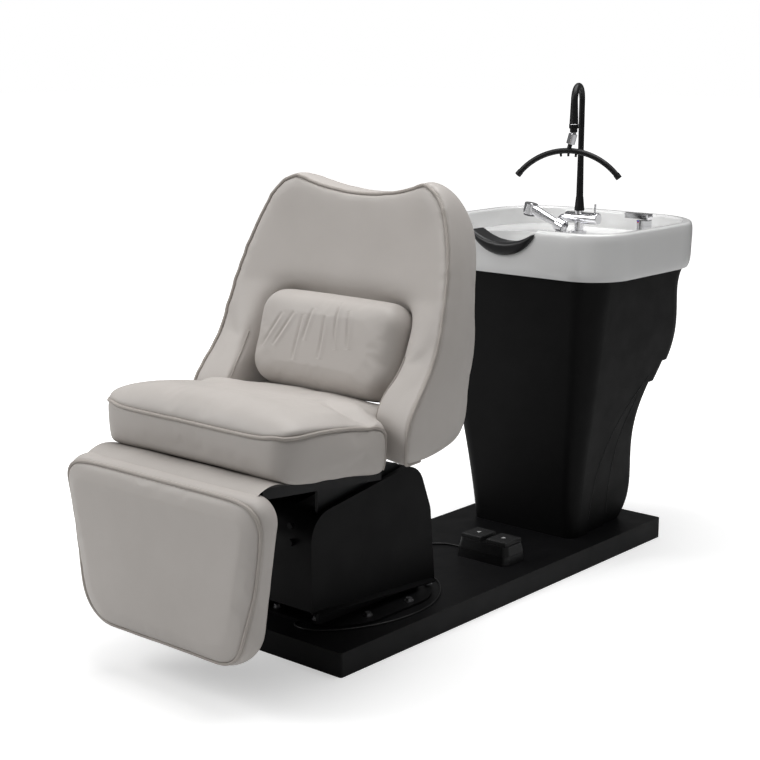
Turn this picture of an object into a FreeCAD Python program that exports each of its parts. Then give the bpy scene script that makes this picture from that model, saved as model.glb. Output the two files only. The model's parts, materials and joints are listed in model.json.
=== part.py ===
import FreeCAD, Part
import math
import os

V = FreeCAD.Vector
os.makedirs("parts", exist_ok=True)

# All lengths in millimetres. X across, Y from the chair to the basin, Z up.
# Origin at the centre of the base underside.

# shared clearances
overrun = 20.0
softGap = 0.4
flatGap = 0.3
runGap = 0.05
boltGap = 0.4

# base plate
baseLength = 1425.0
baseWidth = 509.0
baseHeight = 61.0
baseCorner = 6.0
sheet = 3.0
railWidth = 50.0
railInset = 40.0

# tower under the chair
towerMidY = -430.0
towerHalfLength = 235.0
towerHalfWidth = 118.0
towerPanel = 3.0
towerLift = 18.0
towerFrontRise = 30.0
towerFrontTop = 352.0
towerRearTop = 412.0
towerFrontCorner = 75.0
towerRearCorner = 70.0
towerLipOut = 14.0
footPlate = 6.0
footMidY = -410.0
footHalfLength = 215.0
footHalfWidth = 182.0
footCorner = 70.0
boltShank = 5.0
boltHead = 9.0
boltHeadHeight = 7.0
washerRadius = 12.0
washerThick = 2.0
spinePlate = 8.0
spineHalfGap = 95.0
spineHalfLength = 192.0
spineShoulder = 300.0
standoffRadius = 9.0
spineWindow = 90.0
crossTube = 30.0

# seat
seatTilt = 5.5
seatFrontY = -952.0
seatDepth = 400.0
seatHalfWidth = 322.0
seatSideHeight = 128.0
seatCrown = 40.0
seatBaseZ = 519.0
seatBoard = 12.0
seatRail = 30.0
seatFrameHalfWidth = 200.0
seatFrameDepth = 400.0
seatFrameFrontGap = 30.0
frameWall = 2.5

# recline hinge and drive
reclineY = -470.0
reclineZ = 478.0
reclineTravel = 42.0
shaftRadius = 12.5
shaftHalf = 176.0
bushWall = 4.0
bushLength = 26.0
lugHalf = 24.0
lugX = 120.0
crankLength = 140.0
crankThick = 10.0
crankWidth = 34.0
crankPin = 7.0
driveTube = 21.0
driveTubeLength = 140.0
gearboxShare = 1.6
driveRod = 11.0
forkHalf = 15.0
forkPlate = 6.0
forkLength = 46.0
motorRadius = 26.0
motorLength = 96.0

# backrest
backHalfWidth = 366.0
backBottomZ = 496.0
backHeight = 638.0
backRearY = -240.0
backDepth = 370.0
backDipDepth = 35.0
backDipHalf = 204.0
pocketHalf = 240.0
pocketTopZ = 846.0
pocketDepthTop = 134.0
pocketDepthBottom = 202.0
gapTopZ = 628.0
gapHalf = 200.0
backPanel = 9.0
backPanelInset = 30.0
panelLowDepth = 62.0
panelHighDepth = 26.0
armX = 150.0
armWidth = 45.0
armThick = 8.0

# lumbar pillow
pillowHalfTop = 228.0
pillowHalfBottom = 226.0
pillowHeight = 238.0
pillowThick = 62.0
pillowCrown = 34.0
pillowCorner = 62.0
pillowMidZ = 716.0

# legrest
legTopZ = 520.0
legBottomZ = 106.0
legHalfTop = 340.0
legHalfBottom = 275.0
legCornerTop = 62.0
legCornerBottom = 112.0
legRearY = -974.0
legPad = 56.0
legCrown = 22.0
legPivotY = -960.0
legPivotZ = 510.0
legTravel = 75.0
legShaft = 8.0
earHalf = 12.0
legShaftHalf = 196.0
legArmX = 150.0
legArmWidth = 34.0
legArmThick = 6.0
legArmLength = 250.0
legBoard = 8.0
legLever = 76.0
legLeverThick = 8.0
legLeverWidth = 22.0
legPin = 5.0
legTube = 17.0
legTubeLength = 194.0
hangerHalf = 26.0
hangerThick = 8.0
legRod = 8.0
legForkHalf = 11.0
legForkLength = 42.0
legMotorRadius = 21.0
legMotorLength = 84.0

# pedestal
pedBottomHalf = 180.0
pedTopHalf = 292.0
pedTopZ = 824.0
pedFrontBottom = 355.0
pedFrontTop = 268.0
pedDepth = 300.0
pedRearStep = 140.0
pedCorner = 34.0
pedCornerGrowth = 1.3
pedWall = 5.0
recessStep = 9.0
recessWall = 24.0
hatchHalf = 105.0
hatchBottom = 120.0
hatchHeight = 220.0
hatchThick = 3.0

# basin
basinHalf = 337.0
basinFront = 242.0
basinBack = 828.0
basinRimZ = 954.0
basinTaper = 14.0
basinFootInset = 9.0
basinCornerFront = 130.0
basinCornerBack = 190.0
basinRimWidth = 26.0
rimRound = 9.0
deckZ = 902.0
bowlHalf = 246.0
bowlFront = 284.0
bowlBack = 556.0
bowlFloorZ = 742.0
bowlCorner = 105.0
bowlWall = 16.0
bowlDraft = 60.0
notchRadius = 124.0
notchCentreZ = 1004.0
saddleRadius = 194.0
saddleCentreZ = 1105.0
saddleFront = 10.0
saddleRear = 50.0
drainRadius = 26.0
drainFlange = 40.0
drainLip = 4.0
wasteLength = 150.0
wasteWall = 3.0

# taps
tapY = 640.0
diverterX = -14.0
diverterRadius = 17.0
diverterHalf = 42.0
diverterZ = 946.0
tapBaseRadius = 23.0
tapBaseHeight = 7.0
spoutRadius = 8.0
spoutReach = 26.0
knobLength = 26.0
knobPin = 3.0
knobPinLength = 26.0
collarRadius = 15.0
collarHeight = 40.0
columnFootRadius = 10.5
columnRadius = 8.6
columnTipRadius = 12.8
columnTopZ = 1338.0
columnBend = 41.0
columnTipZ = 1222.0
columnTurn = 18.0
nutRadius = 13.6
nutHeight = 22.0
linkRadius = 12.6
linkHeight = 29.0
stemRadius = 6.5
stemLean = 14.0
hoopZ = 1147.0
hoopHalf = 148.0
hoopDrop = 70.0
hoopTube = 8.2
nozzleRadius = 3.4
nozzleLength = 8.0
mixerX = 208.0
mixerRadius = 22.0
mixerHeight = 38.0
mixerCapHeight = 14.0
leverLength = 74.0
leverWidth = 30.0
leverThick = 9.0
leverPin = 2.0
leverEar = 5.0
handsetX = -42.0
handsetY = 592.0
handsetTilt = 68.0
handsetLength = 122.0
handsetRadius = 11.0
handsetTip = 16.0
headRadius = 20.0
headLength = 34.0
cradleRadius = 19.0
cradleHeight = 34.0

# foot pedal
pedalX = 94.0
pedalY = 84.0
pedalHalfX = 88.0
pedalHalfY = 50.0
pedalBaseHeight = 26.0
pedalTopHeight = 52.0
pedalWall = 3.0
pedalCorner = 20.0
keyHalfX = 33.0
keyHalfY = 36.0
keyOffset = 42.5
keyHeight = 12.0
keyGap = 0.6

# cables: routes lie on the plate, points chosen by hand
cableRadius = 2.5
reliefRadius = 5.5
loopRadius = 2.2
cableZ = baseHeight + cableRadius
loopZ = baseHeight + loopRadius
pedalRoute = [
    (-22.0, 96.0), (-46.0, 97.0), (-72.0, 88.0), (-96.0, 68.0), (-112.0, 40.0), (-118.0, 6.0),
    (-114.0, -32.0), (-104.0, -70.0), (-88.0, -106.0), (-66.0, -138.0), (-46.0, -164.0),
    (-40.0, -180.0), (-40.0, -195.0),
]
loopRoute = [
    (36.0, -195.0), (36.0, -178.0), (48.0, -163.0), (70.0, -156.0), (94.0, -160.0), (120.0, -178.0),
    (146.0, -204.0), (176.0, -242.0),
    (200.0, -288.0), (214.0, -340.0), (219.0, -396.0), (215.0, -452.0), (202.0, -506.0), (182.0, -556.0),
    (154.0, -602.0), (120.0, -638.0), (86.0, -656.0), (58.0, -656.0), (42.0, -648.0),
    (36.0, -638.0), (36.0, -625.0),
]


# helpers
def vec(x, y, z):
    return V(x, y, z)


def block(x0, x1, y0, y1, z0, z1):
    return Part.makeBox(x1 - x0, y1 - y0, z1 - z0, V(x0, y0, z0))


def rod(radius, start, end):
    line = end - start
    return Part.makeCylinder(radius, line.Length, start, line)


def tube(outer, inner, start, end):
    return rod(outer, start, end).cut(rod(inner, start, end))


def rounded(points, radii, closed=True):
    # straight runs joined by tangent arcs, one radius for each corner
    count = len(points)
    corners = []
    for i, point in enumerate(points):
        if not closed and i in (0, count - 1):
            corners.append((point, None, point))
            continue
        back = (points[i - 1] - point).normalize()
        ahead = (points[(i + 1) % count] - point).normalize()
        half = back.getAngle(ahead) / 2
        reach = radii[i] / math.tan(half)
        inward = (back + ahead).normalize()
        middle = point + inward * (radii[i] / math.sin(half) - radii[i])
        corners.append((point + back * reach, middle, point + ahead * reach))
    edges = []
    for i, (enter, middle, leave) in enumerate(corners):
        if middle is not None:
            edges.append(Part.Arc(enter, middle, leave).toShape())
        if closed or i < count - 1:
            following = corners[(i + 1) % count][0]
            if (following - leave).Length > runGap:
                edges.append(Part.LineSegment(leave, following).toShape())
    return Part.Wire(edges)


def even(points, radius, closed=True):
    return rounded(points, [radius] * len(points), closed)


def rectangle(half, front, back, z, cornerFront, cornerBack):
    points = [vec(-half, front, z), vec(half, front, z), vec(half, back, z), vec(-half, back, z)]
    return rounded(points, [cornerFront, cornerFront, cornerBack, cornerBack])


def prism(wire, direction):
    return Part.Face(wire).extrude(direction)


def loft(wires, ruled=False):
    return Part.makeLoft(wires, True, ruled)


def mirrored(shape):
    return shape.mirror(V(0, 0, 0), V(1, 0, 0))


def pair(shape):
    return Part.makeCompound([shape, mirrored(shape)])


def sweep(path, radius):
    edge = path.Edges[0]
    start = edge.valueAt(edge.FirstParameter)
    along = edge.tangentAt(edge.FirstParameter)
    ring = Part.Wire([Part.Circle(start, along, radius).toShape()])
    return path.makePipeShell([ring], True, False)


def arcLoop(corners, bulges):
    # closed outline of one arc per side, each bowed by its own vector
    edges = []
    for i, corner in enumerate(corners):
        following = corners[(i + 1) % len(corners)]
        middle = (corner + following) * 0.5 + bulges[i]
        if bulges[i].Length < runGap:
            edges.append(Part.LineSegment(corner, following).toShape())
        else:
            edges.append(Part.Arc(corner, middle, following).toShape())
    return Part.Wire(edges)


def hexagon(radius, z, height, x, y):
    points = []
    for i in range(6):
        turn = math.radians(60 * i)
        points.append(vec(x + radius * math.cos(turn), y + radius * math.sin(turn), z))
    return prism(Part.makePolygon(points + [points[0]]), V(0, 0, height))


nodes = {}


def add(name, shape):
    nodes[name] = shape


# base: folded tray, floor pan and two inner rails
def makeBase():
    halfX = baseWidth / 2
    halfY = baseLength / 2
    outer = prism(rectangle(halfX, -halfY, halfY, 0, baseCorner, baseCorner), V(0, 0, baseHeight))
    innerX = halfX - sheet
    innerY = halfY - sheet
    inner = prism(rectangle(innerX, -innerY, innerY, -overrun, sheet, sheet),
                  V(0, 0, baseHeight + overrun - sheet))
    tray = outer.cut(inner)
    for x, y in boltPlaces():
        tray = tray.cut(rod(boltShank + boltGap, vec(x, y, 0), vec(x, y, baseHeight + overrun)))
    add("base_tray", tray)
    panX = innerX - flatGap
    panY = innerY - flatGap
    add("base_floor_pan", prism(rectangle(panX, -panY, panY, 0, sheet, sheet), V(0, 0, sheet)))
    railX = halfX - railInset
    railY = halfY - railInset
    rail = block(railX - railWidth, railX, -railY, railY, sheet, baseHeight - sheet)
    hollow = block(railX - railWidth + sheet, railX + overrun, -railY - overrun, railY + overrun,
                   sheet * 2, baseHeight - sheet * 2)
    add("base_rails", pair(rail.cut(hollow)))


boltHalfShares = (0.37, 0.80, 0.86, 0.62)
boltAlongShares = (-0.86, -0.38, 0.30, 0.90)


def boltPlaces():
    places = []
    for halfShare, alongShare in zip(boltHalfShares, boltAlongShares):
        for side in (-1, 1):
            places.append((side * footHalfWidth * halfShare, footMidY + footHalfLength * alongShare))
    return places


# tower profile in the YZ plane, drawn from the front foot round to the rear foot
def towerProfile(x, inset):
    front = towerMidY - towerHalfLength + inset
    rear = towerMidY + towerHalfLength - inset
    low = baseHeight + towerLift
    topFront = towerFrontTop - inset
    topRear = towerRearTop - inset
    lean = towerLift + inset
    points = [
        vec(x, front, low + towerFrontRise),
        vec(x, front, topFront),
        vec(x, rear - towerRearCorner, topRear),
        vec(x, rear - lean, topFront - towerFrontCorner),
        vec(x, rear, low),
    ]
    corner = max(towerPanel, towerRearCorner - inset)
    return rounded(points, [towerPanel, towerFrontCorner - inset, corner, corner, towerPanel])


def makeTower():
    z = baseHeight
    points = [vec(-footHalfWidth, footMidY - footHalfLength, z),
              vec(footHalfWidth, footMidY - footHalfLength, z),
              vec(footHalfWidth, footMidY + footHalfLength, z),
              vec(-footHalfWidth, footMidY + footHalfLength, z)]
    foot = prism(even(points, footCorner * 2), V(0, 0, footPlate))
    bolts = []
    for x, y in boltPlaces():
        foot = foot.cut(rod(boltShank + boltGap, vec(x, y, 0), vec(x, y, baseHeight + overrun)))
        top = baseHeight + footPlate
        washer = rod(washerRadius, vec(x, y, top), vec(x, y, top + washerThick))
        shank = rod(boltShank, vec(x, y, baseHeight - sheet * 2), vec(x, y, top + washerThick))
        head = hexagon(boltHead, top + washerThick, boltHeadHeight, x, y)
        bolts.append(washer.fuse(shank).fuse(head).removeSplitter())
    add("tower_foot_plate", foot)
    add("tower_bolts", Part.makeCompound(bolts))
    # side panels with a rolled lip along the lower edge
    x0 = towerHalfWidth - towerPanel
    panel = prism(towerProfile(x0, 0), V(towerPanel, 0, 0))
    front = towerMidY - towerHalfLength
    rear = towerMidY + towerHalfLength
    low = baseHeight + towerLift
    lipLow = [vec(x0, front + towerLipOut, low + towerFrontRise), vec(x0, rear - towerLipOut, low)]
    lip = Part.Face(Part.makePolygon([
        vec(towerHalfWidth, lipLow[0].y, lipLow[0].z + towerPanel),
        vec(towerHalfWidth + towerLipOut, lipLow[0].y, lipLow[0].z - towerPanel),
        vec(towerHalfWidth + towerLipOut, lipLow[0].y, lipLow[0].z),
        vec(towerHalfWidth, lipLow[0].y, lipLow[0].z + towerPanel * 2),
        vec(towerHalfWidth, lipLow[0].y, lipLow[0].z + towerPanel)])).extrude(lipLow[1] - lipLow[0])
    panel = panel.fuse(lip).removeSplitter()
    add("tower_side_panel_right", panel)
    add("tower_side_panel_left", mirrored(panel))
    # wrap: one sheet bent along the profile between the side panels, slotted for what passes through
    span = x0 - flatGap
    wrap = prism(towerProfile(-span, 0), V(span * 2, 0, 0))
    wrap = wrap.cut(prism(towerProfile(-span - overrun, towerPanel), V((span + overrun) * 2, 0, 0)))
    wrap = wrap.cut(block(-span - overrun, span + overrun, front - overrun, rear + overrun,
                          0, baseHeight + towerLift + towerFrontRise + towerPanel * 2))
    for side in (-1, 1):
        x = side * spineHalfGap
        wrap = wrap.cut(block(x - spinePlate, x + spinePlate, towerMidY - spineHalfLength - spinePlate,
                              towerMidY + spineHalfLength + spinePlate,
                              towerFrontTop - towerFrontCorner, towerRearTop + overrun))
    slotHalf = crankThick + forkPlate * 2
    wrap = wrap.cut(block(-slotHalf, slotHalf, reclineY - crankLength, reclineY + crankWidth + overrun,
                          towerFrontTop - towerFrontCorner, towerRearTop + overrun))
    add("tower_wrap", wrap)
    # inner frame: two windowed plates and cross tubes
    frameParts = []
    lowFront = towerMidY - spineHalfLength
    lowRear = towerMidY + spineHalfLength
    for side in (-1, 1):
        x = side * spineHalfGap - spinePlate / 2
        outline = rounded([
            vec(x, lowFront, baseHeight + footPlate),
            vec(x, lowRear, baseHeight + footPlate),
            vec(x, lowRear, spineShoulder),
            vec(x, lowRear - spineWindow, frameTop(lowRear - spineWindow)),
            vec(x, lowFront, frameTop(lowFront)),
        ], [spinePlate] * 5)
        plate = prism(outline, V(spinePlate, 0, 0))
        window = rounded([
            vec(x - overrun, lowFront + spineWindow / 2, baseHeight + spineWindow),
            vec(x - overrun, lowRear - spineWindow, baseHeight + spineWindow),
            vec(x - overrun, lowRear - spineWindow, baseHeight + spineWindow * 2),
            vec(x - overrun, lowFront + spineWindow / 2, baseHeight + spineWindow * 2),
        ], [spinePlate * 2] * 4)
        plate = plate.cut(prism(window, V(spinePlate + overrun * 2, 0, 0)))
        frameParts.append(plate)
    inner = spineHalfGap - spinePlate / 2
    for y in (lowFront + crossTube * 3, lowRear - crossTube * 3):
        bar = block(-inner, inner, y - crossTube / 2, y + crossTube / 2,
                    baseHeight + footPlate, baseHeight + footPlate + crossTube)
        frameParts.append(bar)
    # standoffs reach out to the side panels
    for y in (lowFront + crossTube, lowRear - crossTube * 2):
        for z in (baseHeight + spineWindow / 2, spineShoulder - spinePlate):
            for side in (-1, 1):
                frameParts.append(rod(standoffRadius, vec(side * (inner + spinePlate), y, z),
                                      vec(side * x0, y, z)))
    # sloping plate that the recline drive is bolted to
    end, along, across = reclineDriveEnd()
    high = spineWindow / 3
    points = [end + across * high, end - across * high, end - across * high - along * spinePlate,
              end + across * high - along * spinePlate]
    points = [point - V(inner, 0, 0) for point in points]
    frameParts.append(prism(Part.makePolygon(points + [points[0]]), V(inner * 2, 0, 0)))
    frame = frameParts[0]
    for piece in frameParts[1:]:
        frame = frame.fuse(piece)
    add("tower_frame", frame.removeSplitter())


# the recline drive lies along the chord that its crank pin travels
def reclineChord():
    half = math.radians(reclineTravel / 2)
    return V(0, -math.cos(half), math.sin(half))


def reclineDriveEnd():
    along = reclineChord()
    pin = vec(0, reclineY, reclineZ - crankLength)
    reach = forkLength + flatGap + driveRod + driveTubeLength + motorRadius * gearboxShare
    return pin - along * reach, along, V(1, 0, 0).cross(along)


# the seat's underside falls towards the rear
def seatUnderside(y):
    return seatBaseZ - (y - seatFrontY) * math.tan(math.radians(seatTilt))


def frameTop(y):
    return seatUnderside(y) - seatBoard - seatRail


seatShares = (
    # along, half width, lift of the underside, side height, crown
    (0.000, 0.770, 0.26, 0.70, 0.30),
    (0.035, 0.890, 0.08, 0.92, 0.60),
    (0.110, 0.955, 0.02, 1.00, 0.94),
    (0.220, 0.985, 0.00, 1.02, 1.06),
    (0.420, 1.000, 0.00, 1.00, 0.96),
    (0.640, 0.985, 0.00, 0.96, 0.92),
    (0.840, 0.920, 0.00, 0.90, 1.00),
    (0.905, 0.790, 0.00, 0.84, 1.12),
    (0.945, 0.715, 0.01, 0.80, 1.12),
    (1.000, 0.700, 0.06, 0.76, 1.00),
)


def makeSeat():
    wires = []
    for along, half, lift, side, crown in seatShares:
        y = seatFrontY + seatDepth * along
        x = seatHalfWidth * half
        low = seatUnderside(y) + seatSideHeight * lift
        high = seatUnderside(y) + seatSideHeight * side
        tuck = seatCrown * 0.2 * crown
        corners = [vec(-x + tuck, y, low), vec(x - tuck, y, low), vec(x, y, high), vec(-x, y, high)]
        bulges = [V(0, 0, 0), V(tuck, 0, 0), V(0, 0, seatCrown * crown), V(-tuck, 0, 0)]
        wires.append(arcLoop(corners, bulges))
    add("seat_cushion", loft(wires))
    # board and welded frame follow the same tilt
    backY = seatFrontY + seatFrameFrontGap + seatFrameDepth
    frontY = seatFrontY + seatFrameFrontGap
    half = seatFrameHalfWidth

    def slab(x0, x1, y0, y1, below, thick):
        points = [vec(x0, y0, seatUnderside(y0) - below), vec(x0, y1, seatUnderside(y1) - below),
                  vec(x0, y1, seatUnderside(y1) - below - thick),
                  vec(x0, y0, seatUnderside(y0) - below - thick)]
        return prism(Part.makePolygon(points + [points[0]]), V(x1 - x0, 0, 0))

    boardRear = seatFrontY + seatDepth * seatShares[6][0]
    add("seat_board", slab(-half - seatRail, half + seatRail, frontY, boardRear, softGap,
                           seatBoard - softGap))
    parts = []
    for side in (-1, 1):
        x = side * half
        parts.append(slab(x - seatRail / 2, x + seatRail / 2, frontY, backY, seatBoard, seatRail))
    lugFront = reclineY - seatRail * 3.4
    lanes = [frontY + seatRail * 2, lugFront]
    for y in lanes:
        parts.append(slab(-half + seatRail / 2, half - seatRail / 2, y - seatRail / 2, y + seatRail / 2,
                          seatBoard, seatRail))
    # rear lugs carry the recline shaft, front lugs carry the legrest shaft
    for side in (-1, 1):
        x = side * lugX
        lug = prism(rounded([
            vec(x - bushLength / 2, lugFront, reclineZ - lugHalf),
            vec(x - bushLength / 2, reclineY + lugHalf, reclineZ - lugHalf),
            vec(x - bushLength / 2, reclineY + lugHalf, reclineZ + lugHalf),
            vec(x - bushLength / 2, lugFront, frameTop(lugFront) + seatRail)],
            [frameWall, lugHalf * 0.7, lugHalf * 0.7, frameWall]), V(bushLength, 0, 0))
        lug = lug.cut(rod(shaftRadius + bushWall, vec(x - bushLength, reclineY, reclineZ),
                          vec(x + bushLength, reclineY, reclineZ)))
        parts.append(lug)
        x = side * (legArmX - legArmThick * 3)
        rearEar = frontY + seatRail * 2
        ear = prism(rounded([
            vec(x - legArmThick / 2, legPivotY - earHalf, legPivotZ - earHalf),
            vec(x - legArmThick / 2, rearEar, frameTop(rearEar) - seatRail / 2),
            vec(x - legArmThick / 2, rearEar, frameTop(rearEar) + seatRail / 3),
            vec(x - legArmThick / 2, legPivotY - earHalf, legPivotZ + earHalf)],
            [earHalf * 0.7, frameWall, frameWall, earHalf * 0.7]), V(legArmThick, 0, 0))
        ear = ear.cut(rod(legShaft + runGap, vec(x - overrun, legPivotY, legPivotZ),
                          vec(x + overrun, legPivotY, legPivotZ)))
        parts.append(ear)
    # hanger that the legrest drive is bolted to
    end = legDriveEnd()
    parts.append(block(-hangerHalf, hangerHalf, end.y, end.y + hangerThick, end.z - legTube,
                       frameTop(end.y + hangerThick) + hangerThick))
    frame = parts[0]
    for piece in parts[1:]:
        frame = frame.fuse(piece)
    add("seat_frame", frame.removeSplitter())


backShares = (
    # height, half width, front edge, rear edge, hollow of the front face
    (0.000, 0.900, 0.932, 0.400, 0.100),
    (0.050, 0.985, 1.000, 0.238, 0.220),
    (0.150, 1.000, 0.995, 0.181, 0.240),
    (0.290, 0.995, 0.830, 0.135, 0.230),
    (0.490, 0.984, 0.640, 0.089, 0.170),
    (0.720, 0.921, 0.500, 0.016, 0.120),
    (0.850, 0.844, 0.424, 0.000, 0.086),
    (0.945, 0.738, 0.368, 0.060, 0.060),
    (1.000, 0.590, 0.330, 0.162, 0.043),
)
rearHalfShare = 0.86


def pocketWall(z):
    rise = (z - gapTopZ) / (pocketTopZ - gapTopZ)
    return backRearY - pocketDepthBottom + (pocketDepthBottom - pocketDepthTop) * rise


def makeBackrest():
    wires = []
    for height, half, front, rear, hollow in backShares:
        z = backBottomZ + backHeight * height
        x = backHalfWidth * half
        frontY = backRearY - backDepth * front
        rearY = backRearY - backDepth * rear
        swell = (rearY - frontY) * 0.06
        corners = [vec(-x, frontY, z), vec(x, frontY, z), vec(x * rearHalfShare, rearY, z),
                   vec(-x * rearHalfShare, rearY, z)]
        side = V(backHalfWidth * 0.025, swell, 0)
        bulges = [V(0, backDepth * hollow, 0), side, V(0, swell, 0), V(-side.x, side.y, 0)]
        wires.append(arcLoop(corners, bulges))
    cushion = loft(wires)
    # dip between the two ears
    top = backBottomZ + backHeight
    dipRadius = (backDipHalf ** 2 + backDipDepth ** 2) / (2 * backDipDepth)
    dipZ = top - backDipDepth + dipRadius
    cushion = cushion.cut(rod(dipRadius, vec(0, backRearY - backDepth * 2, dipZ),
                              vec(0, backRearY + backDepth, dipZ)))
    # pocket for the pillow and the open gap below it
    near = backRearY - backDepth - overrun
    pocket = prism(rounded([
        vec(-pocketHalf, near, backBottomZ - overrun),
        vec(pocketHalf, near, backBottomZ - overrun),
        vec(pocketHalf, near, pocketTopZ),
        vec(-pocketHalf, near, pocketTopZ)],
        [frameWall, frameWall, pillowCorner, pillowCorner]), V(0, backDepth + overrun, 0))
    wallCut = prism(Part.makePolygon([
        vec(-pocketHalf - overrun, near - overrun, backBottomZ - overrun * 2),
        vec(-pocketHalf - overrun, pocketWall(backBottomZ - overrun * 2), backBottomZ - overrun * 2),
        vec(-pocketHalf - overrun, pocketWall(pocketTopZ + overrun), pocketTopZ + overrun),
        vec(-pocketHalf - overrun, near - overrun, pocketTopZ + overrun),
        vec(-pocketHalf - overrun, near - overrun, backBottomZ - overrun * 2)]),
        V((pocketHalf + overrun) * 2, 0, 0))
    cushion = cushion.cut(pocket.common(wallCut))
    cushion = cushion.cut(block(-gapHalf, gapHalf, near, backRearY + overrun * 2, backBottomZ - overrun,
                                gapTopZ))
    # back panel seats in a sloping rebate of the rear face
    lowZ = gapTopZ + backPanelInset
    highZ = top - backDipDepth - backPanelInset * 2
    panelHalf = backHalfWidth * rearHalfShare - backPanelInset * 2
    waist = highZ - backPanelInset * 4

    def panelFace(z):
        rise = (z - lowZ) / (highZ - lowZ)
        return backRearY - panelLowDepth + (panelLowDepth - panelHighDepth) * rise

    def onPanel(x, z):
        return vec(x, panelFace(z), z)

    outline = rounded([
        onPanel(-gapHalf, lowZ), onPanel(gapHalf, lowZ), onPanel(panelHalf, waist),
        onPanel(gapHalf, highZ), onPanel(-gapHalf, highZ), onPanel(-panelHalf, waist)],
        [backPanelInset, backPanelInset, backPanelInset * 2, backPanelInset, backPanelInset,
         backPanelInset * 2])
    cushion = cushion.cut(prism(outline, V(0, backDepth, 0)))
    # channels that the steel arms pass through below the panel
    for side in (-1, 1):
        channel = armThick / 2 + softGap
        cushion = cushion.cut(block(side * armX - channel, side * armX + channel,
                                    panelFace(gapTopZ) - overrun,
                                    backRearY + overrun * 2, gapTopZ - overrun, lowZ + overrun))
    add("backrest_cushion", cushion)
    panel = outline.makeOffset2D(-softGap)
    panel.translate(V(0, softGap, 0))
    add("backrest_back_panel", prism(panel, V(0, backPanel, 0)))
    # steel arms from the shaft to the back panel
    arms = []
    armLow = gapTopZ + armWidth
    armHigh = gapTopZ + armWidth * 3

    def panelRear(z):
        return panelFace(z) + backPanel + softGap

    for side in (-1, 1):
        x = side * armX - armThick / 2
        arm = prism(rounded([
            vec(x, reclineY - lugHalf, reclineZ - lugHalf),
            vec(x, reclineY + lugHalf * 1.5, reclineZ - lugHalf),
            vec(x, panelRear(armLow) + armWidth, gapTopZ - armWidth),
            vec(x, panelRear(armHigh) + armWidth, armHigh),
            vec(x, panelRear(armHigh), armHigh),
            vec(x, panelRear(gapTopZ), gapTopZ),
            vec(x, reclineY - lugHalf, reclineZ + lugHalf)],
            [lugHalf * 0.9, lugHalf * 0.9, lugHalf, armThick, armThick, lugHalf,
             lugHalf * 0.5]), V(armThick, 0, 0))
        arm = arm.cut(rod(shaftRadius + flatGap, vec(x - overrun, reclineY, reclineZ),
                          vec(x + overrun, reclineY, reclineZ)))
        points = [vec(side * armX - armWidth / 2, panelRear(armLow), armLow),
                  vec(side * armX - armWidth / 2, panelRear(armHigh), armHigh)]
        points = points + [points[1] + V(0, armThick / 2, 0), points[0] + V(0, armThick / 2, 0), points[0]]
        flange = prism(Part.makePolygon(points), V(armWidth, 0, 0))
        arms.append(arm.fuse(flange).removeSplitter())
    add("backrest_arms", Part.makeCompound(arms))
    shaft = rod(shaftRadius, vec(-shaftHalf, reclineY, reclineZ), vec(shaftHalf, reclineY, reclineZ))
    add("recline_shaft", shaft)
    bushes = []
    for side in (-1, 1):
        x = side * lugX
        bush = tube(shaftRadius + bushWall, shaftRadius + runGap,
                    vec(x - bushLength / 2, reclineY, reclineZ),
                    vec(x + bushLength / 2, reclineY, reclineZ))
        bushes.append(bush)
    add("recline_bushes", Part.makeCompound(bushes))
    # crank: lever hanging from the shaft, with its drive pin
    pinZ = reclineZ - crankLength
    lever = prism(rounded([
        vec(-crankThick / 2, reclineY - crankWidth / 2, pinZ - crankWidth / 2),
        vec(-crankThick / 2, reclineY + crankWidth / 2, pinZ - crankWidth / 2),
        vec(-crankThick / 2, reclineY + crankWidth * 0.7, reclineZ + crankWidth * 0.7),
        vec(-crankThick / 2, reclineY - crankWidth * 0.7, reclineZ + crankWidth * 0.7)],
        [crankWidth * 0.45] * 4), V(crankThick, 0, 0))
    lever = lever.cut(rod(shaftRadius + flatGap, vec(-overrun, reclineY, reclineZ),
                          vec(overrun, reclineY, reclineZ)))
    pinHalf = crankThick / 2 + forkPlate + flatGap * 2
    lever = lever.fuse(rod(crankPin, vec(-pinHalf, reclineY, pinZ), vec(pinHalf, reclineY, pinZ)))
    add("recline_crank", lever.removeSplitter())


# outline of a pad seen from the front, wider at the top
def padOutline(halfTop, halfBottom, high, low, cornerTop, cornerBottom, inset, y):
    points = [vec(-halfBottom + inset, y, low + inset), vec(halfBottom - inset, y, low + inset),
              vec(halfTop - inset, y, high - inset), vec(-halfTop + inset, y, high - inset)]
    keepTop = max(cornerTop - inset, cornerTop * 0.4)
    keepBottom = max(cornerBottom - inset, cornerBottom * 0.4)
    return rounded(points, [keepBottom, keepBottom, keepTop, keepTop])


pillowLayerShares = ((0.00, 0.16), (0.18, 0.03), (0.45, 0.0), (0.72, 0.05), (0.92, 0.16), (1.0, 0.30))


def makePillow():
    wires = []
    full = pillowThick + pillowCrown
    for depthShare, insetShare in pillowLayerShares:
        inset = pillowHeight * 0.5 * insetShare
        wires.append(padOutline(pillowHalfTop, pillowHalfBottom, pillowHeight / 2, -pillowHeight / 2,
                                pillowCorner, pillowCorner, inset, -full * depthShare))
    pillow = loft(wires)
    tilt = math.degrees(math.atan2(pocketDepthBottom - pocketDepthTop, pocketTopZ - gapTopZ))
    pillow.rotate(V(0, 0, 0), V(1, 0, 0), -tilt)
    pillow.translate(V(0, pocketWall(pillowMidZ) - softGap, pillowMidZ))
    add("lumbar_pillow", pillow)


legLayerShares = ((0.00, 0.10), (0.14, 0.02), (0.40, 0.0), (0.66, 0.015), (0.86, 0.09), (1.0, 0.26))


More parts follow.
